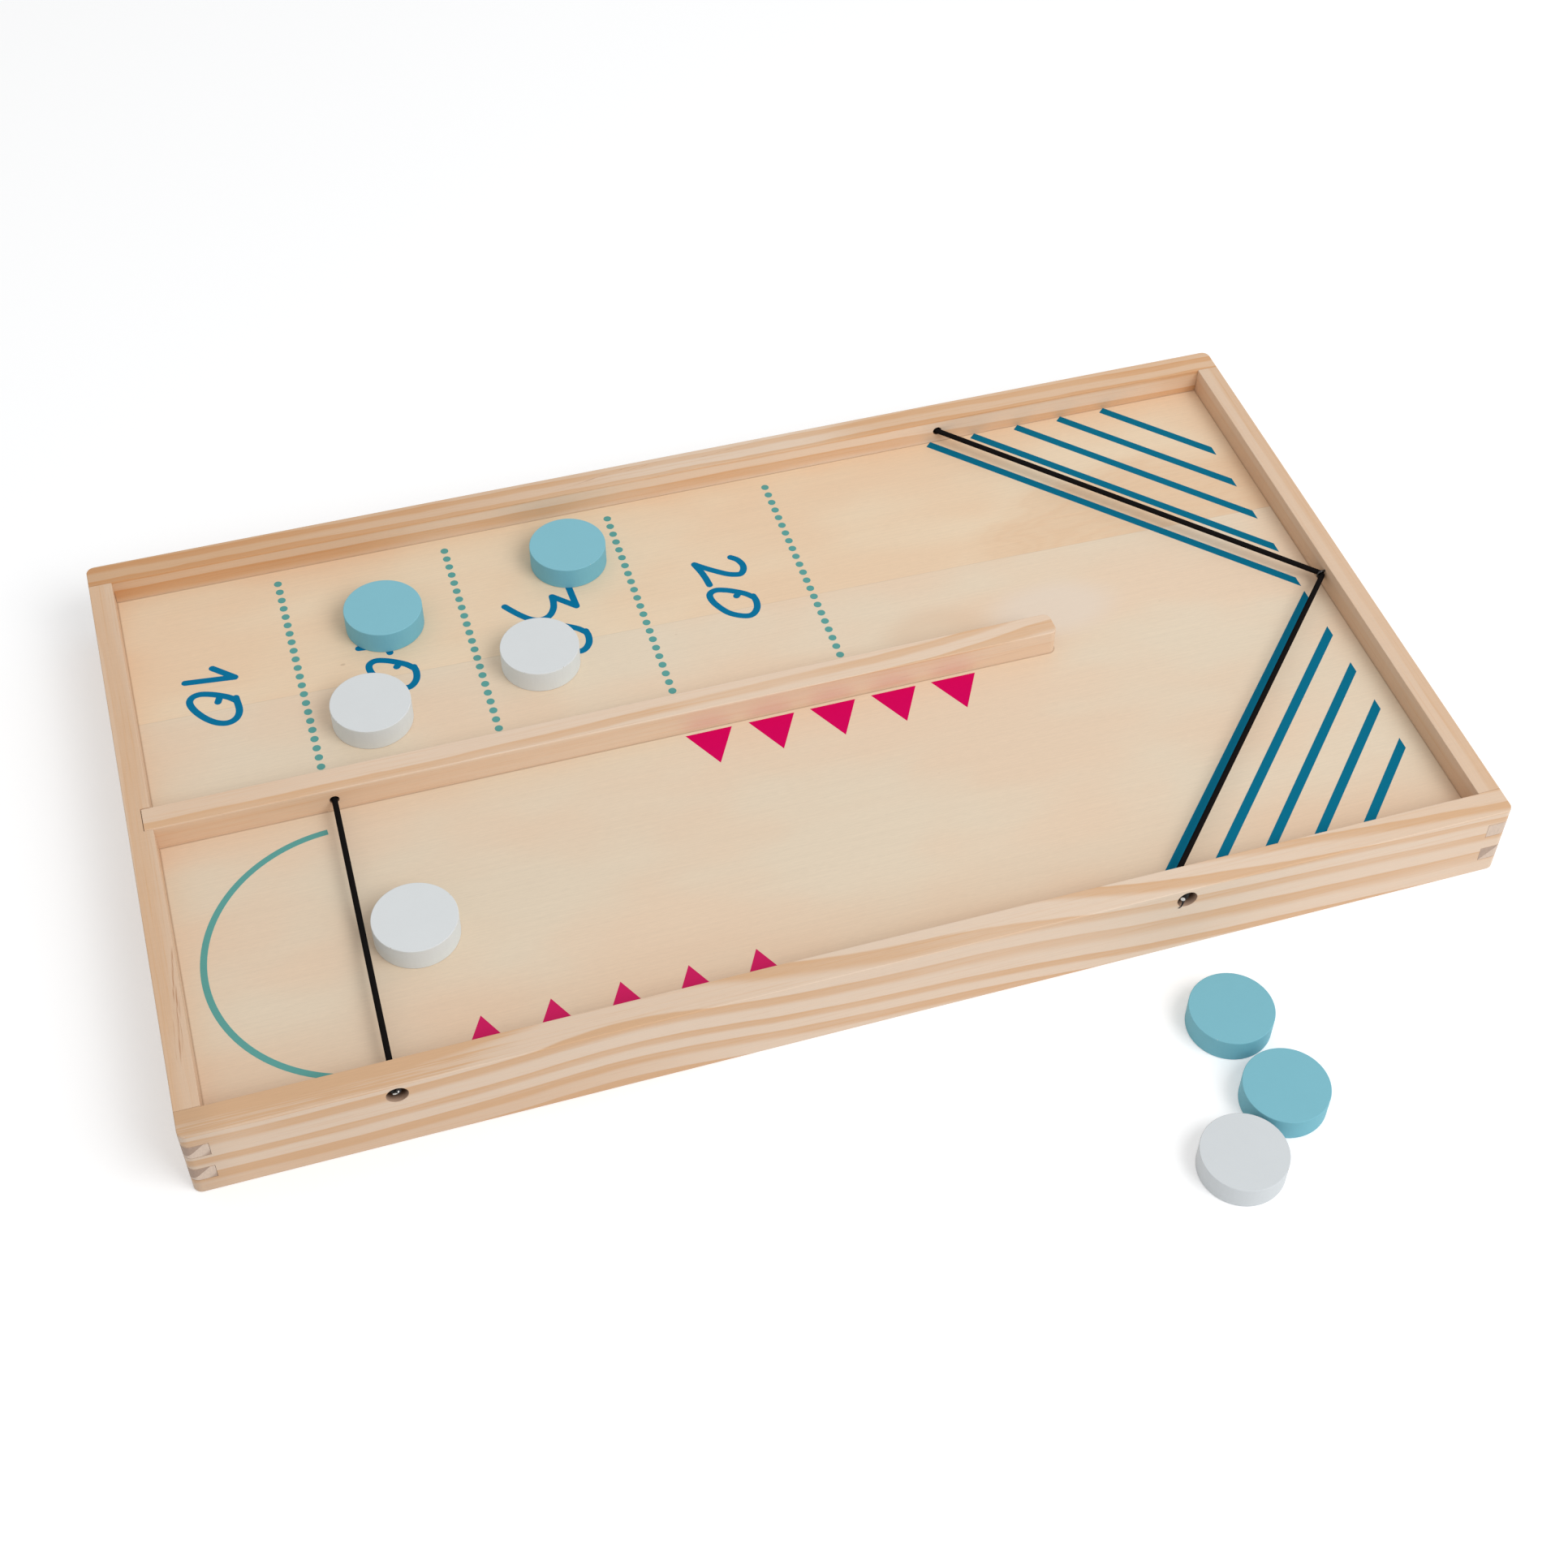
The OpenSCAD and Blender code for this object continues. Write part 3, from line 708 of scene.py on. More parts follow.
def carved(body, cutters, bm=None):
    """body less each cutter, in a new bmesh or added to bm."""
    target = solid_object(body)
    tools = [solid_object(cutter, "cutter") for cutter in cutters]
    for tool in tools:
        cut = target.modifiers.new("cut", "BOOLEAN")
        cut.operation, cut.solver, cut.object = "DIFFERENCE", "EXACT", tool
    bpy.context.view_layer.update()
    bm = bm or bmesh.new()
    bm.from_object(target, bpy.context.evaluated_depsgraph_get())
    for made in (target, *tools):
        old = made.data
        bpy.data.objects.remove(made)
        bpy.data.meshes.remove(old)
    if not bm.faces or any(not edge.is_manifold for edge in bm.edges):
        raise RuntimeError("a cut left an open solid")
    return bm


def piece(name, bm, finishes, body, replaces=(), angle=32, even=False, place=None):
    """A finished piece of the object, riding on a CAD body. place is its own frame."""
    made = solid_object(bm, name)
    for finish in finishes:
        made.data.materials.append(finish)
    made.data.polygons.foreach_set("use_smooth", [True] * len(made.data.polygons))
    made.data.set_sharp_from_angle(angle=math.radians(angle))
    if even:
        made.modifiers.new("even_normals", "WEIGHTED_NORMAL").keep_sharp = True
    if place is not None:
        made.matrix_world = place
    if body:
        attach(made, body)
    if replaces:
        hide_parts(*replaces)
    return made


def bore(x, mouth, side, through, flare):
    """A cutter for a cord hole with its counterbore, whose mouth at y opens towards side."""
    past = 2 * MM
    eased = [(flare, 0), (flare * 0.3, -flare * 0.4), (0, -flare)]
    profile = [(0, past), (BORE_RADIUS + flare + past, past)]
    profile += [(BORE_RADIUS + out, height) for out, height in eased]
    profile += [(BORE_RADIUS, -BORE_DEPTH), (HOLE_RADIUS, -BORE_DEPTH)]
    profile += [(HOLE_RADIUS + out, -through - height) for out, height in reversed(eased)]
    profile += [(HOLE_RADIUS + flare + past, -through - past), (0, -through - past)]
    return turned(profile, 64, (x, mouth, CORD_Z), (0, side, 0))


def line_bores(bm, holes):
    """Gives the walls of the cord holes the second finish. holes are (x, low y, high y)."""
    for face in bm.faces:
        middle = face.calc_center_median()
        for x, low, high in holes:
            out = math.hypot(middle.x - x, middle.z - CORD_Z)
            if out < BORE_RADIUS and low + 1e-5 < middle.y < high - 1e-5:
                face.material_index = 1


def tray_ring(tray):
    """The four rails as one ring, with every outer and inner long edge rounded."""
    flare = tray.edge_round
    outer = prism(eased_rings((-OUTER_X, -OUTER_Y, FOOT), (OUTER_X, OUTER_Y, TOP),
                              (tray.corner_round,) * 4, flare, flare))
    heights = [(FOOT - MM, flare)]
    heights += [(FOOT + flare * math.sin(t), flare * (1 - math.sin(math.acos(1 - math.sin(t)))))
                for t in QUARTER]
    heights += [(TOP - z + FOOT, grow) for z, grow in reversed(heights[1:])]
    heights.append((TOP + MM, flare))
    opening = prism([[(x * (INNER_X + grow), y * (INNER_Y + grow), z)
                      for x, y in ((-1, -1), (1, -1), (1, 1), (-1, 1))] for z, grow in heights])
    return carved(outer, [opening])


def floor_groove():
    """A cutter for the groove that holds the playing floor."""
    return block((FLOOR_LOW.x - PLAY, FLOOR_LOW.y - PLAY, FLOOR_LOW.z),
                 (FLOOR_HIGH.x + PLAY, FLOOR_HIGH.y + PLAY, FLOOR_HIGH.z))


def finger_foot(i):
    """Height of the foot of the corner joints' finger i, counted from the lowest."""
    return FOOT + i * FINGER + FINGER_RISE


def corner_cut(x_side, x_past, y_side, y_past, low, high):
    """A cutter over one corner of the tray, from low to high, that reaches the given ways past
    the rails' inner faces."""
    return block((x_side * (INNER_X - x_past), y_side * (INNER_Y - y_past), low),
                 (x_side * (OUTER_X + MM), y_side * (OUTER_Y + MM), high))


class MakeLongRails(bpy.types.Operator):
    """Make the front and back rails with their finger notches, grooves and cord holes"""

    bl_idname = "sling_board.long_rails"
    bl_label = "Long rails"

    def execute(self, context):
        tray = context.scene.sling_tray
        gap = tray.joint_gap / 2
        front_pine = pine(
            "front_rail_pine", "x",
            [(-300, 10.0), (-240, 9.3), (-200, 10.4), (-160, 12.6), (-135, 14.9), (-115, 15.8),
             (-95, 14.9), (-70, 12.2), (-40, 8.5), (0, 6.0), (40, 4.6), (80, 1.5), (120, -3.4),
             (160, -6.2), (200, -8.2), (240, -10.2), (300, -12.8)],
            (-49.0, -38.2, -24.4, -13.8, 0.0, 13.0, 22.9, 29.8, 37.0, 43.0), lean=-0.62,
            near=-171, strength=0.95, base=0.06, seed=1.0, wave=0.4, tone=(0.95, 0.99),
            crowd_to=-145, sag=(-90, 100, 2.0, -3), left_end=0.90,
            warmth=((-300, 0.08, 0.08), (-180, 0.06, 0.12), (-120, 0.0, 0.12), (-60, 0.0, 0.12),
                    (0, 0.0, 0.0), (100, 0.0, 0.0), (180, 0.0, 0.04), (240, 0.02, 0.20),
                    (300, 0.10, 0.25)))
        back_pine = pine(
            "back_rail_pine", "x",
            [(-300, 7.6), (-150, 7.2), (0, 6.8), (150, 7.0), (300, 6.4)],
            (-56.0, -38.0, -20.0, 0.0, 7.6, 11.6, 18.0, 26.0), lean=-0.45, near=157.5,
            strength=0.75, base=0.50, seed=4.0, wave=0.8, tone=(0.96, 1.04),
            sag=(70, 260, 3.4, 6), sides=1.3, left_end=0.97, deep=1.1,
            marks=((True, -55, 163, -20, 169, 0.35, 0.5), (True, -30, 165, -8, 168.5, 0.3, 0.5),
                   (True, -70, 160.5, -35, 166, 0.3, 0.35), (True, 5, 164, 35, 168, 0.3, 0.4),
                   (True, 20, 166, 50, 170, 0.3, 0.35)),
            warmth=((-300, 0.46, 0.48), (-240, 0.10, 0.49), (-180, 0.06, 0.32),
                    (-120, -0.38, 0.13), (-60, -0.48, -0.08), (0, -0.40, -0.38),
                    (60, -0.48, -0.38), (120, -0.49, 0.20), (180, -0.38, 0.15),
                    # From 272 mm on, the back rail's sides are drawn darker and more orange as
                    # painted shade in the right corner
                    (240, -0.33, 0.18), (272, -0.05, 0.20), (300, 0.45, 0.22)))
        wall = drilled(OUTER_Y)
        for node, side, finish, holes in (
                ("front_rail", -1, front_pine, (LAUNCH_HOLE_X, DEFLECTOR_HOLE_X)),
                ("back_rail", 1, back_pine, (DEFLECTOR_HOLE_X,))):
            cutters = [block((-1, -side, -1), (1, side * INNER_Y, 1)), floor_groove()]
            cutters += [corner_cut(end, gap, side, MM, finger_foot(i) - gap,
                                   finger_foot(i) + FINGER + gap)
                        for end in (-1, 1) for i in (1, 3)]
            cutters += [bore(x, side * OUTER_Y, side, OUTER_Y - INNER_Y, tray.hole_flare)
                        for x in holes]
            bm = carved(tray_ring(tray), cutters)
            low, high = sorted((side * OUTER_Y, side * INNER_Y))
            line_bores(bm, [(x, low, high) for x in holes])
            piece(node + "_wood", bm, [finish, wall], "board", [node], even=True)
        return {"FINISHED"}


class MakeEndRails(bpy.types.Operator):
    """Make the left and right rails with their fingers, groove, housing and staple holes"""

    bl_idname = "sling_board.end_rails"
    bl_label = "End rails"

    def execute(self, context):
        tray = context.scene.sling_tray
        gap = tray.joint_gap / 2
        left_pine = pine(
            "left_rail_pine", "y",
            [(-171, -1.7), (-150, -0.3), (-100, -2.7), (0, -4.4), (71, -5.3), (150, -2.7),
             (171, -2.2)],
            (-49.5, -33.0, -16.5, 0.0, 16.5, 33.0), lean=0.88, near=-300, strength=0.32,
            base=0.48, seed=9.0, wave=0.3, tone=(0.94, 0.99), ends=(0.58, 1.0), scrape=0.06,
            marks=((True, -137, -293.6, -92, -290.4, 0.55, 0.9),
                   (True, -130, -292.0, -98, -290.0, 0.4, 0.7),
                   (True, -112, -293.2, -72, -289.6, 0.6, 0.8),
                   (True, -135, -295.2, -110, -293.8, 0.3, 0.4)),
            warmth=((-171, 0.0, 0.05), (-130, -0.15, 0.05), (-60, -0.15, 0.05),
                    (-20, 0.0, 0.05), (20, -0.15, 0.05), (100, -0.15, 0.05), (140, 0.0, 0.05),
                    (171, 0.0, 0.05)))
        right_pine = pine(
            "right_rail_pine", "y", [(-171, -8.6), (0, -8.6), (171, -8.6)],
            (-52.0, -26.0, 0.0, 26.0, 52.0), lean=0.87, near=300, strength=0.30, base=0.40,
            seed=14.0, wave=0.3, tone=(0.96, 0.98), ends=(0.34, 0.8), scrape=0.06)
        housing = block((DIVIDER_LOW.x - PLAY, DIVIDER_LOW.y - PLAY, 0),
                        (-INNER_X + MM, DIVIDER_HIGH.y + PLAY, TOP + MM))
        staple_low, staple_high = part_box("deflector_staple")
        staple_holes = [drill(WIRE_RADIUS + 0.05 * MM, -2 * MM, LEG_DEPTH, (INNER_X, 0, z),
                              (1, 0, 0))
                        for z in (staple_low.z + WIRE_RADIUS, staple_high.z - WIRE_RADIUS)]
        wall = drilled(OUTER_Y)
        for node, side, finish, own in (("left_rail", -1, left_pine, [housing]),
                                        ("right_rail", 1, right_pine, staple_holes)):
            cutters = [block((-side, -1, -1), (side * INNER_X, 1, 1)), floor_groove()]
            for edge in (-1, 1):
                for i in (0, 2, 4):
                    low = finger_foot(i) - gap if i else FOOT - MM
                    high = finger_foot(i) + FINGER + (gap if i < 4 else MM)
                    cutters.append(corner_cut(side, MM, edge, gap, low, high))
            bm = carved(tray_ring(tray), cutters + own)
            piece(node + "_wood", bm, [finish, wall], "board", [node], even=True)
        return {"FINISHED"}


class MakeDivider(bpy.types.Operator):
    """Make the divider between the lanes, rounded at its free end"""

    bl_idname = "sling_board.divider"
    bl_label = "Divider"

    def execute(self, context):
        tray = context.scene.sling_tray
        corner = tray.divider_round
        bar = prism(eased_rings(DIVIDER_LOW, DIVIDER_HIGH, (0, corner, corner, 0),
                                tray.edge_round, 0))
        hole_x = LAUNCH_HOLE_X + LAUNCH_LEAN
        cutters = [bore(hole_x, DIVIDER_HIGH.y, 1, DIVIDER_HIGH.y - DIVIDER_LOW.y,
                        tray.hole_flare)]
        cutters += [drill(PILOT_RADIUS, -MM, PILOT_DEPTH, (x, y, 0)) for x, y in screw_places()]
        bm = carved(bar, cutters)
        line_bores(bm, [(hole_x, DIVIDER_LOW.y, DIVIDER_HIGH.y)])
        finish = pine(
            "divider_pine", "x",
            [(-300, 16.0), (-220, 15.8), (-180, 15.9), (-140, 16.3), (-100, 16.8), (-60, 17.6),
             (-20, 17.9), (20, 18.5), (60, 19.1), (80, 19.7), (100, 20.9), (120, 22.5),
             (143, 24.0), (300, 27.0)],
            (-48.5, -32.5, -16.5, -5.5, 0.0, 12.0, 22.0, 34.0), lean=-0.55, near=-5.9,
            strength=0.74, base=0.12, seed=21.0, wave=0.4, tone=(0.998, 1.035), sides=0.25,
            marks=((False, 92, 8.0, 132, 9.2, 0.25, 0.4), (False, 96, 5.0, 136, 6.0, 0.2, 0.3),
                   (False, 60, 5.5, 88, 7.0, 0.5, 0.35)),
            warmth=((-300, 0.42, 0.28), (-240, 0.40, 0.22), (-200, 0.38, 0.08),
                    (-150, 0.22, 0.0), (-80, 0.10, 0.0), (0, 0.12, 0.0), (100, 0.10, 0.04),
                    (300, 0.04, 0.4)))
        piece("divider_wood", bm, [finish, drilled(DIVIDER_HIGH.y)], "board", ["divider_rail"],
              even=True)
        return {"FINISHED"}


def screw_places():
    """Plan places of the four screws, shared out along the divider."""
    first, last = SCREWS_LOW.x + HEAD_RADIUS, SCREWS_HIGH.x - HEAD_RADIUS
    return [(first + (last - first) * i / 3, (SCREWS_LOW.y + SCREWS_HIGH.y) / 2)
            for i in range(4)]


class MakePlayingFloor(bpy.types.Operator):
    """Make the veneered playing floor, countersunk from below for the divider's screws"""

    bl_idname = "sling_board.playing_floor"
    bl_label = "Playing floor"

    def execute(self, context):
        depth = FLOOR_HIGH.z - FLOOR_LOW.z
        cutters = [turned([(0, -MM), (3.9 * MM, -MM), (1.6 * MM, 1.3 * MM),
                           (1.6 * MM, depth + MM), (0, depth + MM)], 32, (x, y, FLOOR_LOW.z))
                   for x, y in screw_places()]
        piece("playing_floor", carved(block(FLOOR_LOW, FLOOR_HIGH), cutters), [veneer()],
              "board", ["floor_panel"])
        return {"FINISHED"}


def printed(name, shapes, finish):
    """A printed mark lying on the playing floor."""
    film = bpy.context.scene.sling_print.film
    piece(name, flat_solid(shapes, film, FLOOR_HIGH.z + 0.01 * MM), [finish], "board")


# Strokes of the numbers in millimetres, whose tops are towards +X, and whether each is curved
STROKES = (
    (False, (-264.3, 93.2), (-241.0, 90.5), (-250.5, 99.3)),
    (True, (-242.5, 77.0), (-242.0, 69.0), (-243.5, 64.5), (-246.5, 62.2), (-250.0, 62.0),
     (-254.0, 63.8), (-258.0, 67.5), (-261.5, 72.5), (-263.5, 77.0), (-263.8, 80.5),
     (-262.0, 83.0), (-258.5, 83.8), (-254.0, 82.6), (-249.5, 80.5), (-245.5, 78.0),
     (-242.5, 75.0)),
    (False, (-249.5, 80.0), (-251.0, 76.5)),
    (True, (9.7, 102.7), (12.5, 100.0), (14.0, 96.0), (13.5, 92.5), (11.5, 90.0), (9.0, 90.0),
     (5.0, 91.5), (0.0, 95.0), (-5.0, 99.0), (-9.2, 102.8)),
    (True, (-9.2, 102.8), (-7.5, 97.0), (-6.5, 92.0), (-5.9, 86.6)),
    (False, (-73.7, 108.0), (-73.0, 91.0), (-83.0, 100.8)),
    (True, (-83.0, 100.8), (-83.3, 96.5), (-84.5, 92.0), (-87.5, 88.0), (-92.0, 86.6),
     (-96.5, 88.3), (-100.5, 92.0), (-104.0, 96.3), (-107.0, 100.5)),
    (False, (-157.5, 90.0), (-181.0, 92.5)),
    (False, (-157.5, 90.0), (-170.5, 106.0), (-167.0, 85.5)))
# The zero of 20 and its tail, which 30 and 40 repeat at these shifts
ZERO_STROKES = (
    (True, (12.7, 73.0), (13.2, 69.0), (12.3, 64.5), (9.5, 61.0), (6.0, 60.3), (1.0, 62.5),
     (-3.0, 66.0), (-6.5, 72.0), (-8.0, 77.0), (-7.3, 80.5), (-4.0, 82.0), (0.5, 80.8),
     (5.0, 78.5), (9.5, 75.5), (12.7, 72.0)),
    (False, (6.5, 77.0), (4.8, 75.2)))
ZERO_SHIFTS = (0, -85.5, -170.5)
DOT_LINES = (-211.3, -127.4, -42.8, 41.6)
DOT_START = 22


class MakeScorePrints(bpy.types.Operator):
    """Make the printed numbers and the dotted lines between the score zones"""

    bl_idname = "sling_board.score_prints"
    bl_label = "Score numbers and dotted lines"

    def execute(self, context):
        sizes = context.scene.sling_print
        colours = context.scene.sling_colours
        strokes = [(0, *row) for row in STROKES]
        strokes += [(shift, *row) for shift in ZERO_SHIFTS for row in ZERO_STROKES]
        shapes = []
        for shift, smooth, *points in strokes:
            shapes += stroke([((x + shift) * MM, y * MM) for x, y in points],
                             sizes.number_stroke, smooth)
        printed("score_numbers", shapes, ink("number_ink", colours.number_blue))
        shapes = [disc(x * MM, DOT_START * MM + i * sizes.dot_pitch, sizes.dot_width / 2)
                  for x in DOT_LINES for i in range(sizes.dot_count)]
        printed("dotted_lines", shapes, ink("dot_ink", colours.teal))
        return {"FINISHED"}


# Places of the lane's marks in millimetres
ARC_MIDDLE = (-211.5, -85.8)
TRIANGLES = (((-33.3, -2.5, 28.0, 58.6, 89.0), -8.1, -1),
             ((-170.6, -140.1, -109.5, -79.1, -48.6), -157.3, 1))
STRIPES = ((134.5, 5.0), (159.3, 31.0), (184.0, 56.7), (208.5, 82.5), (233.3, 108.5))
STRIPE_START, STRIPE_END, STRIPE_SHIFT = 156.4, 278.4, 0.4


class MakeLanePrints(bpy.types.Operator):
    """Make the launch arc, the triangles along the lane and the stripes in the corners"""

    bl_idname = "sling_board.lane_prints"
    bl_label = "Arc, triangles and stripes"

    def execute(self, context):
        sizes = context.scene.sling_print
        colours = context.scene.sling_colours
        cx, cy = ARC_MIDDLE
        half = sizes.arc_stroke / 2
        turns = [math.radians(93 + 174 * i / 60) for i in range(61)]
        arc = [(cx * MM + reach * math.cos(t), cy * MM + reach * math.sin(t))
               for reach, way in ((sizes.arc_radius + half, turns),
                                  (sizes.arc_radius - half, turns[::-1])) for t in way]
        printed("launch_arc", [arc], ink("arc_ink", colours.teal))
        wide, tall = sizes.triangle_base / 2, sizes.triangle_height
        shapes = []
        for places, y, side in TRIANGLES:
            for x in places:
                others = [(x * MM + wide, y * MM), (x * MM, y * MM + side * tall)]
                shapes.append([(x * MM - wide, y * MM), *others[::side]])
        printed("lane_triangles", shapes, ink("triangle_ink", colours.magenta, 0.10))
        shapes = []
        cut = STRIPE_END * MM
        for x, end_y in STRIPES:
            for side in (1, -1):
                a = Vector((x * MM, side * STRIPE_START * MM))
                b = Vector((cut, side * end_y * MM))
                ahead = (b - a).normalized()
                out = ahead.orthogonal() * sizes.stripe_stroke / 2
                far = [p + ahead * (cut - p.x) / ahead.x for p in (b - out, b + out)]
                shapes.append([(p.x, p.y - STRIPE_SHIFT * MM) for p in (a + out, a - out, *far)])
        printed("corner_stripes", shapes, ink("stripe_ink", colours.stripe_blue))
        return {"FINISHED"}


def stretch(name, path, cord, node, body=None, run=0.0):
    """A stretch of elastic along path, and the metres of cord at its end. cord holds the slot,
    which is not used, the radius and the finish."""
    slot, radius, finish = cord
    bm = bmesh.new()
    run = sweep(bm, path, radius, bpy.context.scene.sling_loose.cord_sides, run=run)
    return piece(name, bm, [finish], body, [node], angle=50), run


def springy(name, anchor, root, tip, shares, cord, node):
    """Elastic held at root and running to tip, cut at shares of its length so that each cut
    follows the straight line between the two. anchor leads up to root."""
    run = 0.0
    for i, (a, b) in enumerate(zip(shares, shares[1:])):
        start, end = root.lerp(tip, a), root.lerp(tip, b)
        count = max(3, round((end - start).length / (4 * MM)))
        path = [start.lerp(end, k / count) for k in range(count + 1)]
        if i == 0:
            path = anchor + path
        made, run = stretch(f"{name}_{i + 1}", path, cord, node, run=run)
        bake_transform(made)


def struck(name, start, end, cord, node, body):
    """The short stretch of elastic that a puck strikes."""
    stretch(name, [start.lerp(end, i / 6) for i in range(7)], cord, node, body)


LAUNCH_SHARES = (0, 0.06, 0.2, 0.5, 0.8, 0.94, 1)
DEFLECTOR_SHARES = (0, 0.12, 0.5, 0.88, 1)


class MakeLaunchElastic(bpy.types.Operator):
    """Make the launch elastic: its two stretches and the part that a puck is drawn against"""

    bl_idname = "sling_board.launch_elastic"
    bl_label = "Launch elastic"

    def execute(self, context):
        cord = ("launch_elastic", LAUNCH_RADIUS, braid("launch_braid", LAUNCH_RADIUS))
        middle = (NOCK_LOW.y + NOCK_HIGH.y) / 2
        front, back = middle - NOCK_LENGTH / 2, middle + NOCK_LENGTH / 2
        for word, mouth, seat, nock in (
                ("front", -INNER_Y, -BORE_SEAT, front),
                ("back", DIVIDER_LOW.y, DIVIDER_HIGH.y - BORE_DEPTH, back)):
            anchor = [launch_point(seat), launch_point((seat + mouth) / 2)]
            springy(f"launch_elastic_{word}", anchor, launch_point(mouth), launch_point(nock),
                    LAUNCH_SHARES, cord, f"launch_cord_{word}")
        struck("launch_elastic_nock", launch_point(front), launch_point(back), cord,
               "launch_cord_nock", "launch_sling")
        return {"FINISHED"}


class MakeDeflectorElastic(bpy.types.Operator):
    """Make the deflector elastic: its two arms, the struck stretches and the bend"""

    bl_idname = "sling_board.deflector_elastic"
    bl_label = "Deflector elastic"

    def execute(self, context):
        cord = ("deflector_elastic", DEFLECTOR_RADIUS, braid("deflector_braid", DEFLECTOR_RADIUS))
        for word, side in (("back", 1), ("front", -1)):
            # The quarter of the bend from its middle to where this arm leaves it
            *hook, bend = [Vector((BEND_X + BEND_RADIUS * math.cos(turn),
                                   side * BEND_RADIUS * math.sin(turn), CORD_Z))
                           for turn in (BEND_TURN * i / 8 for i in range(9))]
            mouth = Vector((DEFLECTOR_HOLE_X, side * INNER_Y, CORD_Z))
            seat = Vector((DEFLECTOR_HOLE_X, side * BORE_SEAT, CORD_Z))
            half = STRIKE_LENGTH / (bend - mouth).length / 2
            near, far = mouth.lerp(bend, 0.5 - half), mouth.lerp(bend, 0.5 + half)
            inner = mouth + (seat - mouth).normalized() * (0.6 * MM)
            arm = f"{word}_arm"
            springy(f"deflector_{word}_end", [seat, seat.lerp(inner, 0.5), inner], mouth, near,
                    DEFLECTOR_SHARES, cord, f"deflector_cord_{word}")
            springy(f"deflector_{word}_bend", hook, bend, far, DEFLECTOR_SHARES, cord,
                    "deflector_cord_apex")
            struck(f"deflector_{word}_strike", near, far, cord, f"deflector_strike_{word}", arm)
        return {"FINISHED"}


def tied(stand, radius, turn, tilt, spin, frayed, curled):
    """An overhand knot with its tail, in a frame whose z points out of the hole. turn is how far
    the knot is turned, and tilt and spin give the tail's lean, in degrees. The tail's cut end has
    the second finish."""
    loop, lift = 1.1 * radius / 3, 1.5 * radius
    path = [stand @ Vector((loop * (math.sin(t) + 2 * math.sin(2 * t)),
                            loop * (math.cos(t) - 2 * math.cos(2 * t)),
                            lift - 1.5 * loop * math.sin(3 * t)))
            for t in (2 * math.pi * i / 72 + math.radians(turn) for i in range(72))]
    bm = bmesh.new()
    run = sweep(bm, path, radius * 0.94, 14, closed=True)
    tilt, spin = math.radians(tilt), math.radians(spin)
    lean = Vector((math.sin(tilt) * math.cos(spin), math.sin(tilt) * math.sin(spin),
                   math.cos(tilt)))
    start, reach = Vector((0, 0, lift)), (BORE_DEPTH - lift - 0.8 * MM) / math.cos(tilt)
    tail = [stand @ (start + lean * (reach * i / 9)) for i in range(10)]
    run = sweep(bm, tail, lambda s: radius * (0.95 if s < 0.95 else 0.86), 18, run=run)
    if frayed:
        for aside in (-0.35, 0.0, 0.3):
            strand = ((-1.3, -0.9, 4.6), (-2.1, -2.2, 5.6), (-2.9, -3.4, 6.0),
                      (-3.6 + aside, -4.4, 5.8))
            strand = [stand @ Vector(((x + aside * (1 - i / 3)) * MM, z * MM, out * MM))
                      for i, (x, z, out) in enumerate(strand)]
            sweep(bm, strand, lambda s: 0.30 * MM * (1 - 0.7 * s), 8, run=run)
    known = len(bm.faces)
    ahead, tip = lean * 0.2 * MM, start + lean * reach
    if curled:
        curl = [tip - ahead] + [tip + Vector(p) * MM for p in (
            (-0.3, -0.4, 0.2), (-0.9, -1.1, 0.2), (-1.7, -1.5, 0.0), (-2.5, -1.6, -0.2))]
        sweep(bm, [stand @ p for p in curl], lambda s: (0.42 - 0.14 * s) * MM, 10)
    else:
        sweep(bm, [stand @ p for p in (tip - ahead, tip, tip + ahead)],
              lambda s: radius * (0.80 if s < 0.8 else 0.70), 16)
    bm.faces.ensure_lookup_table()
    for face in bm.faces[known:]:
        face.material_index = 1
    return bm


class MakeKnots(bpy.types.Operator):
    """Make the overhand knots that hold the elastics' ends in their counterbores"""

    bl_idname = "sling_board.knots"
    bl_label = "Knots"

    def execute(self, context):
        pale_ends = pale_cord_ends()
        # Each knot's elastic, side, seat, and its turn, tilt and spin in degrees
        for word, place, seat, turns in (
                ("launch", "front", launch_point(-BORE_SEAT), (60, 38, 60)),
                ("launch", "back", launch_point(DIVIDER_HIGH.y - BORE_DEPTH), (200, 38, 200)),
                ("deflector", "back", Vector((DEFLECTOR_HOLE_X, BORE_SEAT, CORD_Z)),
                 (130, 38, 130)),
                ("deflector", "front", Vector((DEFLECTOR_HOLE_X, -BORE_SEAT, CORD_Z)),
                 (150, 35, 176))):
            node = f"{word}_knot_{place}"
            radius = LAUNCH_RADIUS if word == "launch" else DEFLECTOR_RADIUS
            turn = math.radians(-90 if place == "back" else 90)
            stand = Matrix.Translation(seat) @ Matrix.Rotation(turn, 4, "X")
            bm = tied(stand, radius, *turns, frayed=node == "deflector_knot_front",
                      curled=node == "launch_knot_front")
            piece(node + "_tied", bm, [braid(f"{node}_braid", radius, 0.3), pale_ends], "board",
                  [node], angle=50)
        return {"FINISHED"}


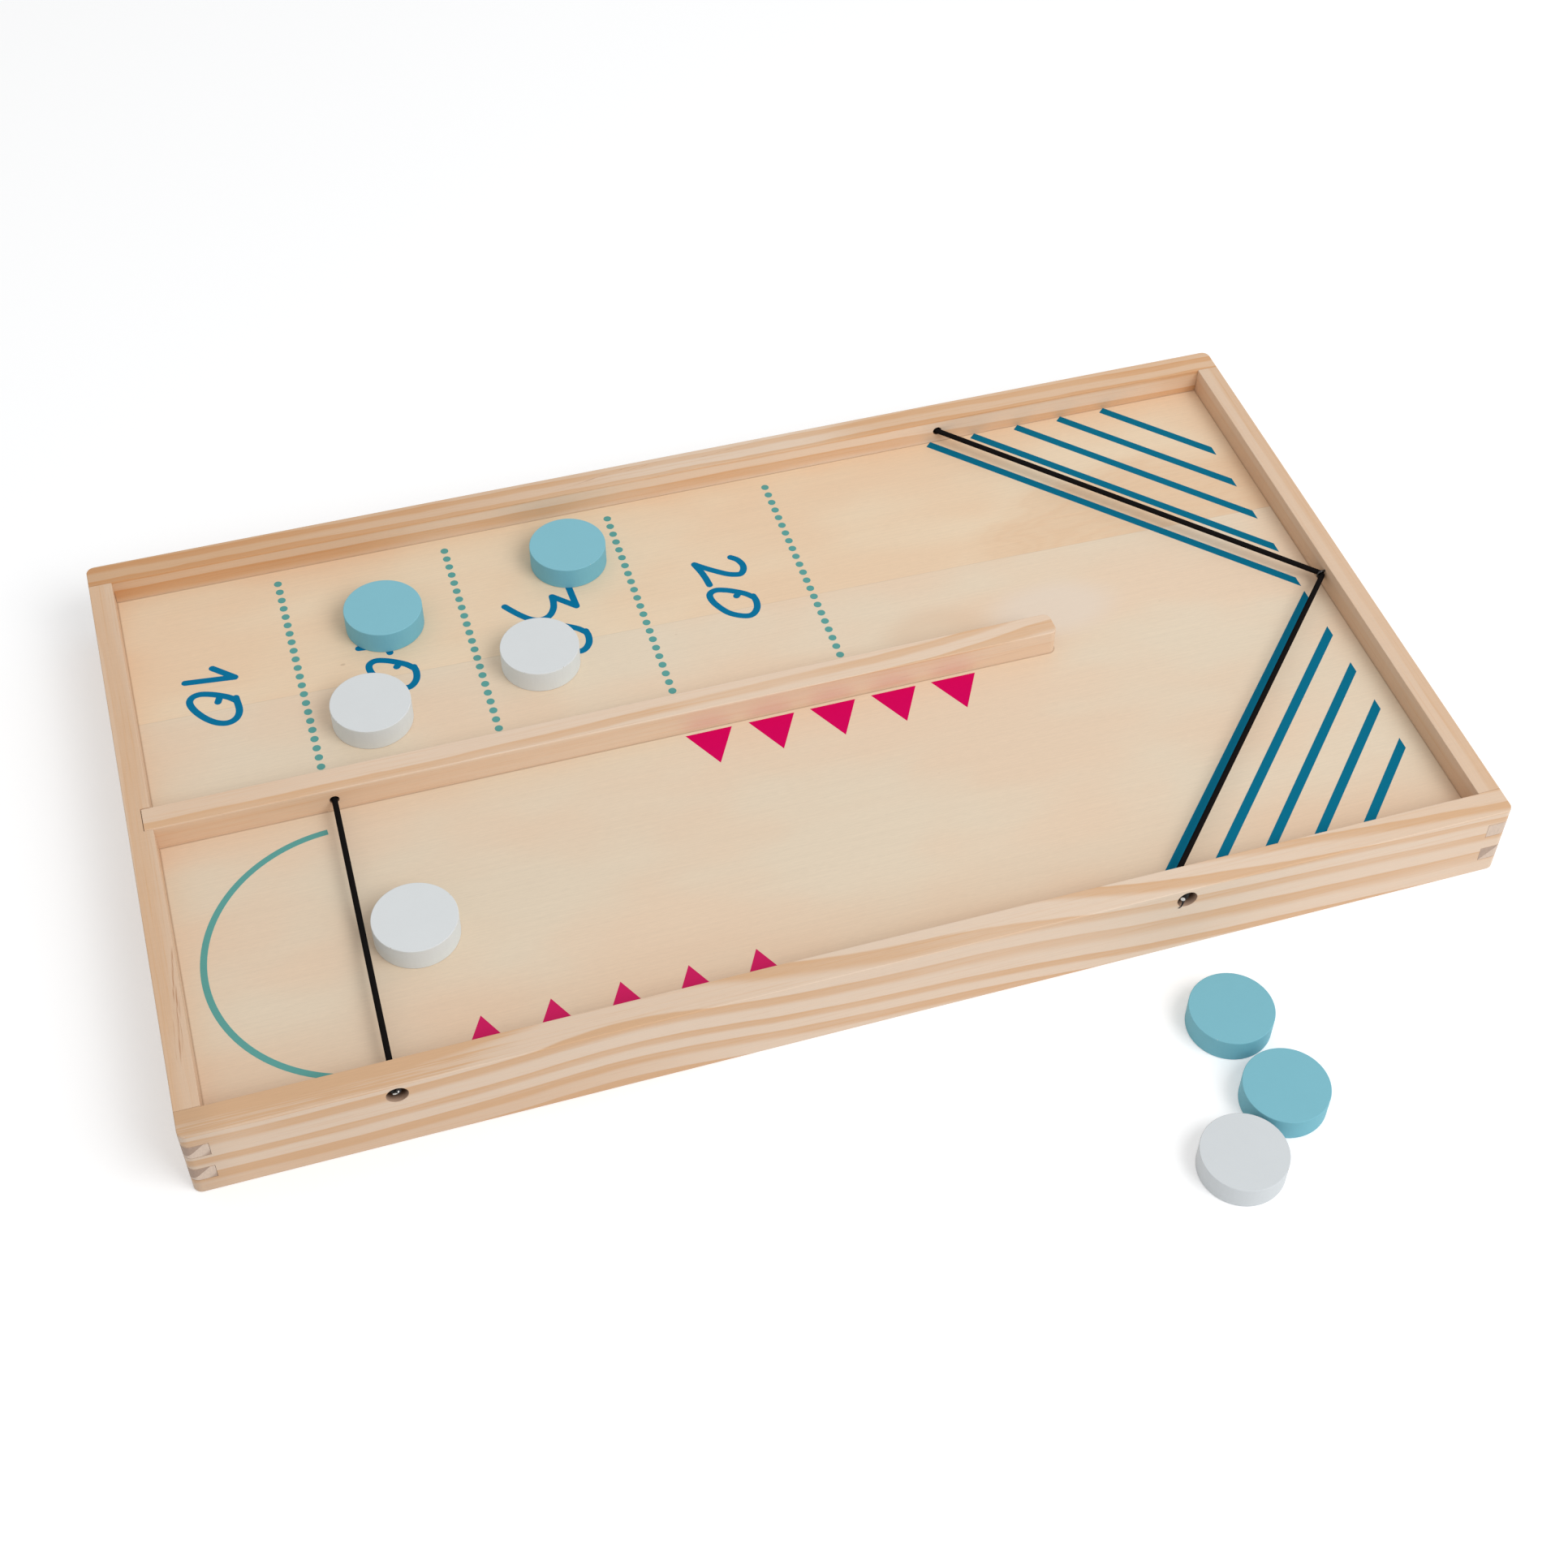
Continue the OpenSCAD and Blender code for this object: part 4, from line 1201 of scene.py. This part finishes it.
class MakeSteel(bpy.types.Operator):
    """Make the divider's cross-recessed screws and give the staple its bright wire"""

    bl_idname = "sling_board.steel"
    bl_label = "Screws and staple"

    def execute(self, context):
        reach, pitch = SCREWS_HIGH.z - SCREWS_LOW.z, 1.2 * MM
        # The head and the shank, and then the thread and the point
        profile = [(0, 0), (2.62 * MM, 0), (HEAD_RADIUS, 0.08 * MM), (2.72 * MM, 0.2 * MM),
                   (1.35 * MM, 1.35 * MM), (SHANK_RADIUS, 2.2 * MM)]
        height = 2.2 * MM
        while height + pitch < reach - 2 * MM:
            profile += [(wide * MM, height + share * pitch)
                        for wide, share in ((1.15, 0.35), (1.5, 0.5), (1.15, 0.65))]
            height += pitch
        profile += [(1.1 * MM, height), (0, reach)]
        bm = bmesh.new()
        for x, y in screw_places():
            slots = []
            for turn in (20, 110):
                slot = block((-1.5 * MM, -0.35 * MM, -MM), (1.5 * MM, 0.35 * MM, MM))
                slot.transform(Matrix.Translation((x, y, SCREWS_LOW.z))
                               @ Matrix.Rotation(math.radians(turn), 4, "Z"))
                slots.append(slot)
            carved(turned(profile, 40, (x, y, SCREWS_LOW.z)), slots, bm)
        piece("divider_screw_set", bm, [steel("screw_steel", (0.62, 0.60, 0.56), 0.34)],
              "board", ["divider_screws"])
        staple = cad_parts["deflector_staple"]
        staple.data.materials.clear()
        staple.data.materials.append(steel("staple_steel", (0.05, 0.05, 0.052), 0.26))
        return {"FINISHED"}


# The bare colour under a puck's paint, and the painted light on its paint: how it differs on top
# and on its side, on the board and on the table
BARE = {"blue": (0.50, 0.62, 0.60), "white": (0.42, 0.34, 0.26)}
PUCK_PAINTED_LIGHT = {
    ("blue", "board"): ((1, 1, 1), (0.80, 0.93, 0.99)),
    ("blue", "table"): ((0.85, 0.90, 0.91), (0.83, 0.93, 0.94)),
    ("white", "board"): ((1, 1, 1), (1.04, 1.08, 1.09)),
    ("white", "table"): ((0.88, 0.895, 0.91), (0.95, 0.96, 0.97)),
}


class MakePucks(bpy.types.Operator):
    """Make the four blue and four white pucks"""

    bl_idname = "sling_board.pucks"
    bl_label = "Pucks"

    def execute(self, context):
        edge, lift = context.scene.sling_loose.puck_edge, context.scene.sling_loose.puck_lift
        finishes = {}
        for number, node in enumerate(sorted(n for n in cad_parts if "_puck_" in n)):
            low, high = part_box(node)
            radius, half = (high.x - low.x) / 2, (high.z - low.z) / 2
            word = node.split("_")[0]
            # Pucks on the table take darker copies of the paint as painted light
            kind = (word, "table" if high.y < -OUTER_Y else "board")
            if kind not in finishes:
                shade = getattr(context.scene.sling_colours, word + "_paint")
                lit_coats = [[c * share for c, share in zip(shade, shares)]
                         for shares in PUCK_PAINTED_LIGHT[kind]]
                finishes[kind] = paint(f"{word}_puck_paint_{kind[1]}", *lit_coats, BARE[word],
                                       radius / MM, half / MM)
            profile = [(0, lift - half), (radius - 1.6 * MM, lift - half), (radius - MM, -half)]
            profile += [(radius - edge + edge * math.sin(t), -half + edge - edge * math.cos(t))
                        for t in QUARTER]
            profile += [(radius - edge + edge * math.cos(t), half - edge + edge * math.sin(t))
                        for t in QUARTER]
            profile += [(radius * 0.5, half), (0, half)]
            place = (Matrix.Translation((low + high) / 2 + Vector((0, 0, 0.05 * MM)))
                     @ Matrix.Rotation(math.radians(90 * number), 4, "Z"))
            piece(node + "_turned", turned(profile, 128), [finishes[kind]], node, [node],
                  even=True, place=place)
        return {"FINISHED"}


# The camera, solved from the board's straight edges: its place, the directions that run right,
# down and into the picture, its focal length in millimetres and the shift of its lens
CAMERA_PLACE = (-0.22936, -0.73640, 0.83249)
CAMERA_RIGHT = Vector((0.9534191, -0.3011645, 0.0170839))
CAMERA_DOWN = Vector((-0.2110218, -0.7063747, -0.6756513))
CAMERA_AHEAD = Vector((0.2155498, 0.6405738, -0.7370234))
CAMERA_LENS, CAMERA_SHIFT = 54.69, (-0.015145, -0.042601)
# The soft box: the way to it from the origin, how far it stands and how wide it is, in metres
LAMP_WAY, LAMP_REACH, LAMP_SIZE = Vector((0.55, -0.75, 1.0)), 2.4, 1.4


class MakeStudio(bpy.types.Operator):
    """Make the pale floor, the soft lights and the camera"""

    bl_idname = "sling_board.studio"
    bl_label = "Studio"

    def execute(self, context):
        scene = context.scene
        colours = scene.sling_colours
        floor = solid_object(block((-6, -6, FOOT - 0.02), (6, 6, FOOT - 0.05 * MM)),
                             "studio_floor")
        f = Finish("studio_floor_paint", roughness=0.9, shine=0.1)
        cloud = f.noise((0.002, 0.002, 0.002), 1.0, 0.5)
        # Only the camera and its reflections see the floor lifted to white
        lift = f.seen() * f.ease(f.distance(f.x, f.y), 900, 3000, 0.28, 1)
        f.put(f.shader.inputs["Emission Color"], (1, 1, 1))
        f.put(f.shader.inputs["Emission Strength"], lift)
        floor.data.materials.append(f.done(f.level((0.845, 0.853, 0.865), 0.99 + cloud * 0.02)))

        scene.world = world = bpy.data.worlds.new("studio_world")
        world.use_nodes = True
        w = Nodes(world.node_tree)
        fill = w.wire("Background", ((1.0, 0.995, 0.985), colours.fill_light))
        white = w.wire("Background", ((1, 1, 1), 1.0))
        w.make("OutputWorld", (w.wire("MixShader", (w.seen(), fill, white)),))

        lamp = bpy.data.lights.new("main_light", "AREA")
        lamp.energy, lamp.shape, lamp.size = colours.main_light, "SQUARE", LAMP_SIZE
        soft_box = bpy.data.objects.new("main_light", lamp)
        soft_box.location = LAMP_WAY.normalized() * LAMP_REACH
        soft_box.rotation_mode = "QUATERNION"
        soft_box.rotation_quaternion = soft_box.location.to_track_quat("Z", "Y")
        scene.collection.objects.link(soft_box)

        eye = bpy.data.cameras.new("camera")
        eye.sensor_width, eye.lens = 36, CAMERA_LENS
        eye.shift_x, eye.shift_y = CAMERA_SHIFT
        eye.clip_start, eye.clip_end = 0.01, 50
        camera = bpy.data.objects.new("camera", eye)
        scene.collection.objects.link(camera)
        turn = Matrix((CAMERA_RIGHT, -CAMERA_DOWN, -CAMERA_AHEAD)).transposed().to_4x4()
        camera.matrix_world = Matrix.Translation(CAMERA_PLACE) @ turn
        scene.camera = camera
        scene.view_settings.view_transform = "Standard"
        return {"FINISHED"}


class SlingBoardPanel(bpy.types.Panel):
    """Lists the makers of the board's pieces and their sizes"""

    bl_idname = "VIEW3D_PT_sling_board"
    bl_label = "Sling puck board"
    bl_space_type = "VIEW_3D"
    bl_region_type = "UI"
    bl_category = "Sling board"

    def draw(self, context):
        layout = self.layout
        for maker in MAKERS:
            layout.operator(maker.bl_idname)
        for group in GROUPS:
            settings = getattr(context.scene, group)
            box = layout.box()
            for key in settings.bl_rna.properties.keys():
                if key not in ("rna_type", "name"):
                    box.prop(settings, key)


GROUPS = {
    "sling_tray": TrayProperties,
    "sling_print": PrintProperties,
    "sling_loose": LooseProperties,
    "sling_colours": ColourProperties,
}
MAKERS = (MakeStudio, MakeLongRails, MakeEndRails, MakeDivider, MakePlayingFloor,
          MakeScorePrints, MakeLanePrints, MakeLaunchElastic, MakeDeflectorElastic, MakeKnots,
          MakeSteel, MakePucks)


def register():
    for kind in (*GROUPS.values(), *MAKERS, SlingBoardPanel):
        bpy.utils.register_class(kind)
    for name, group in GROUPS.items():
        setattr(bpy.types.Scene, name, PointerProperty(type=group))


def unregister():
    for name in GROUPS:
        delattr(bpy.types.Scene, name)
    for kind in (SlingBoardPanel, *reversed(MAKERS), *reversed(GROUPS.values())):
        bpy.utils.unregister_class(kind)


def main():
    register()
    bpy.ops.sling_board.studio()
    bpy.ops.sling_board.long_rails()
    bpy.ops.sling_board.end_rails()
    bpy.ops.sling_board.divider()
    bpy.ops.sling_board.playing_floor()
    bpy.ops.sling_board.score_prints()
    bpy.ops.sling_board.lane_prints()
    bpy.ops.sling_board.launch_elastic()
    bpy.ops.sling_board.deflector_elastic()
    bpy.ops.sling_board.knots()
    bpy.ops.sling_board.steel()
    bpy.ops.sling_board.pucks()


if __name__ == "__main__":
    main()
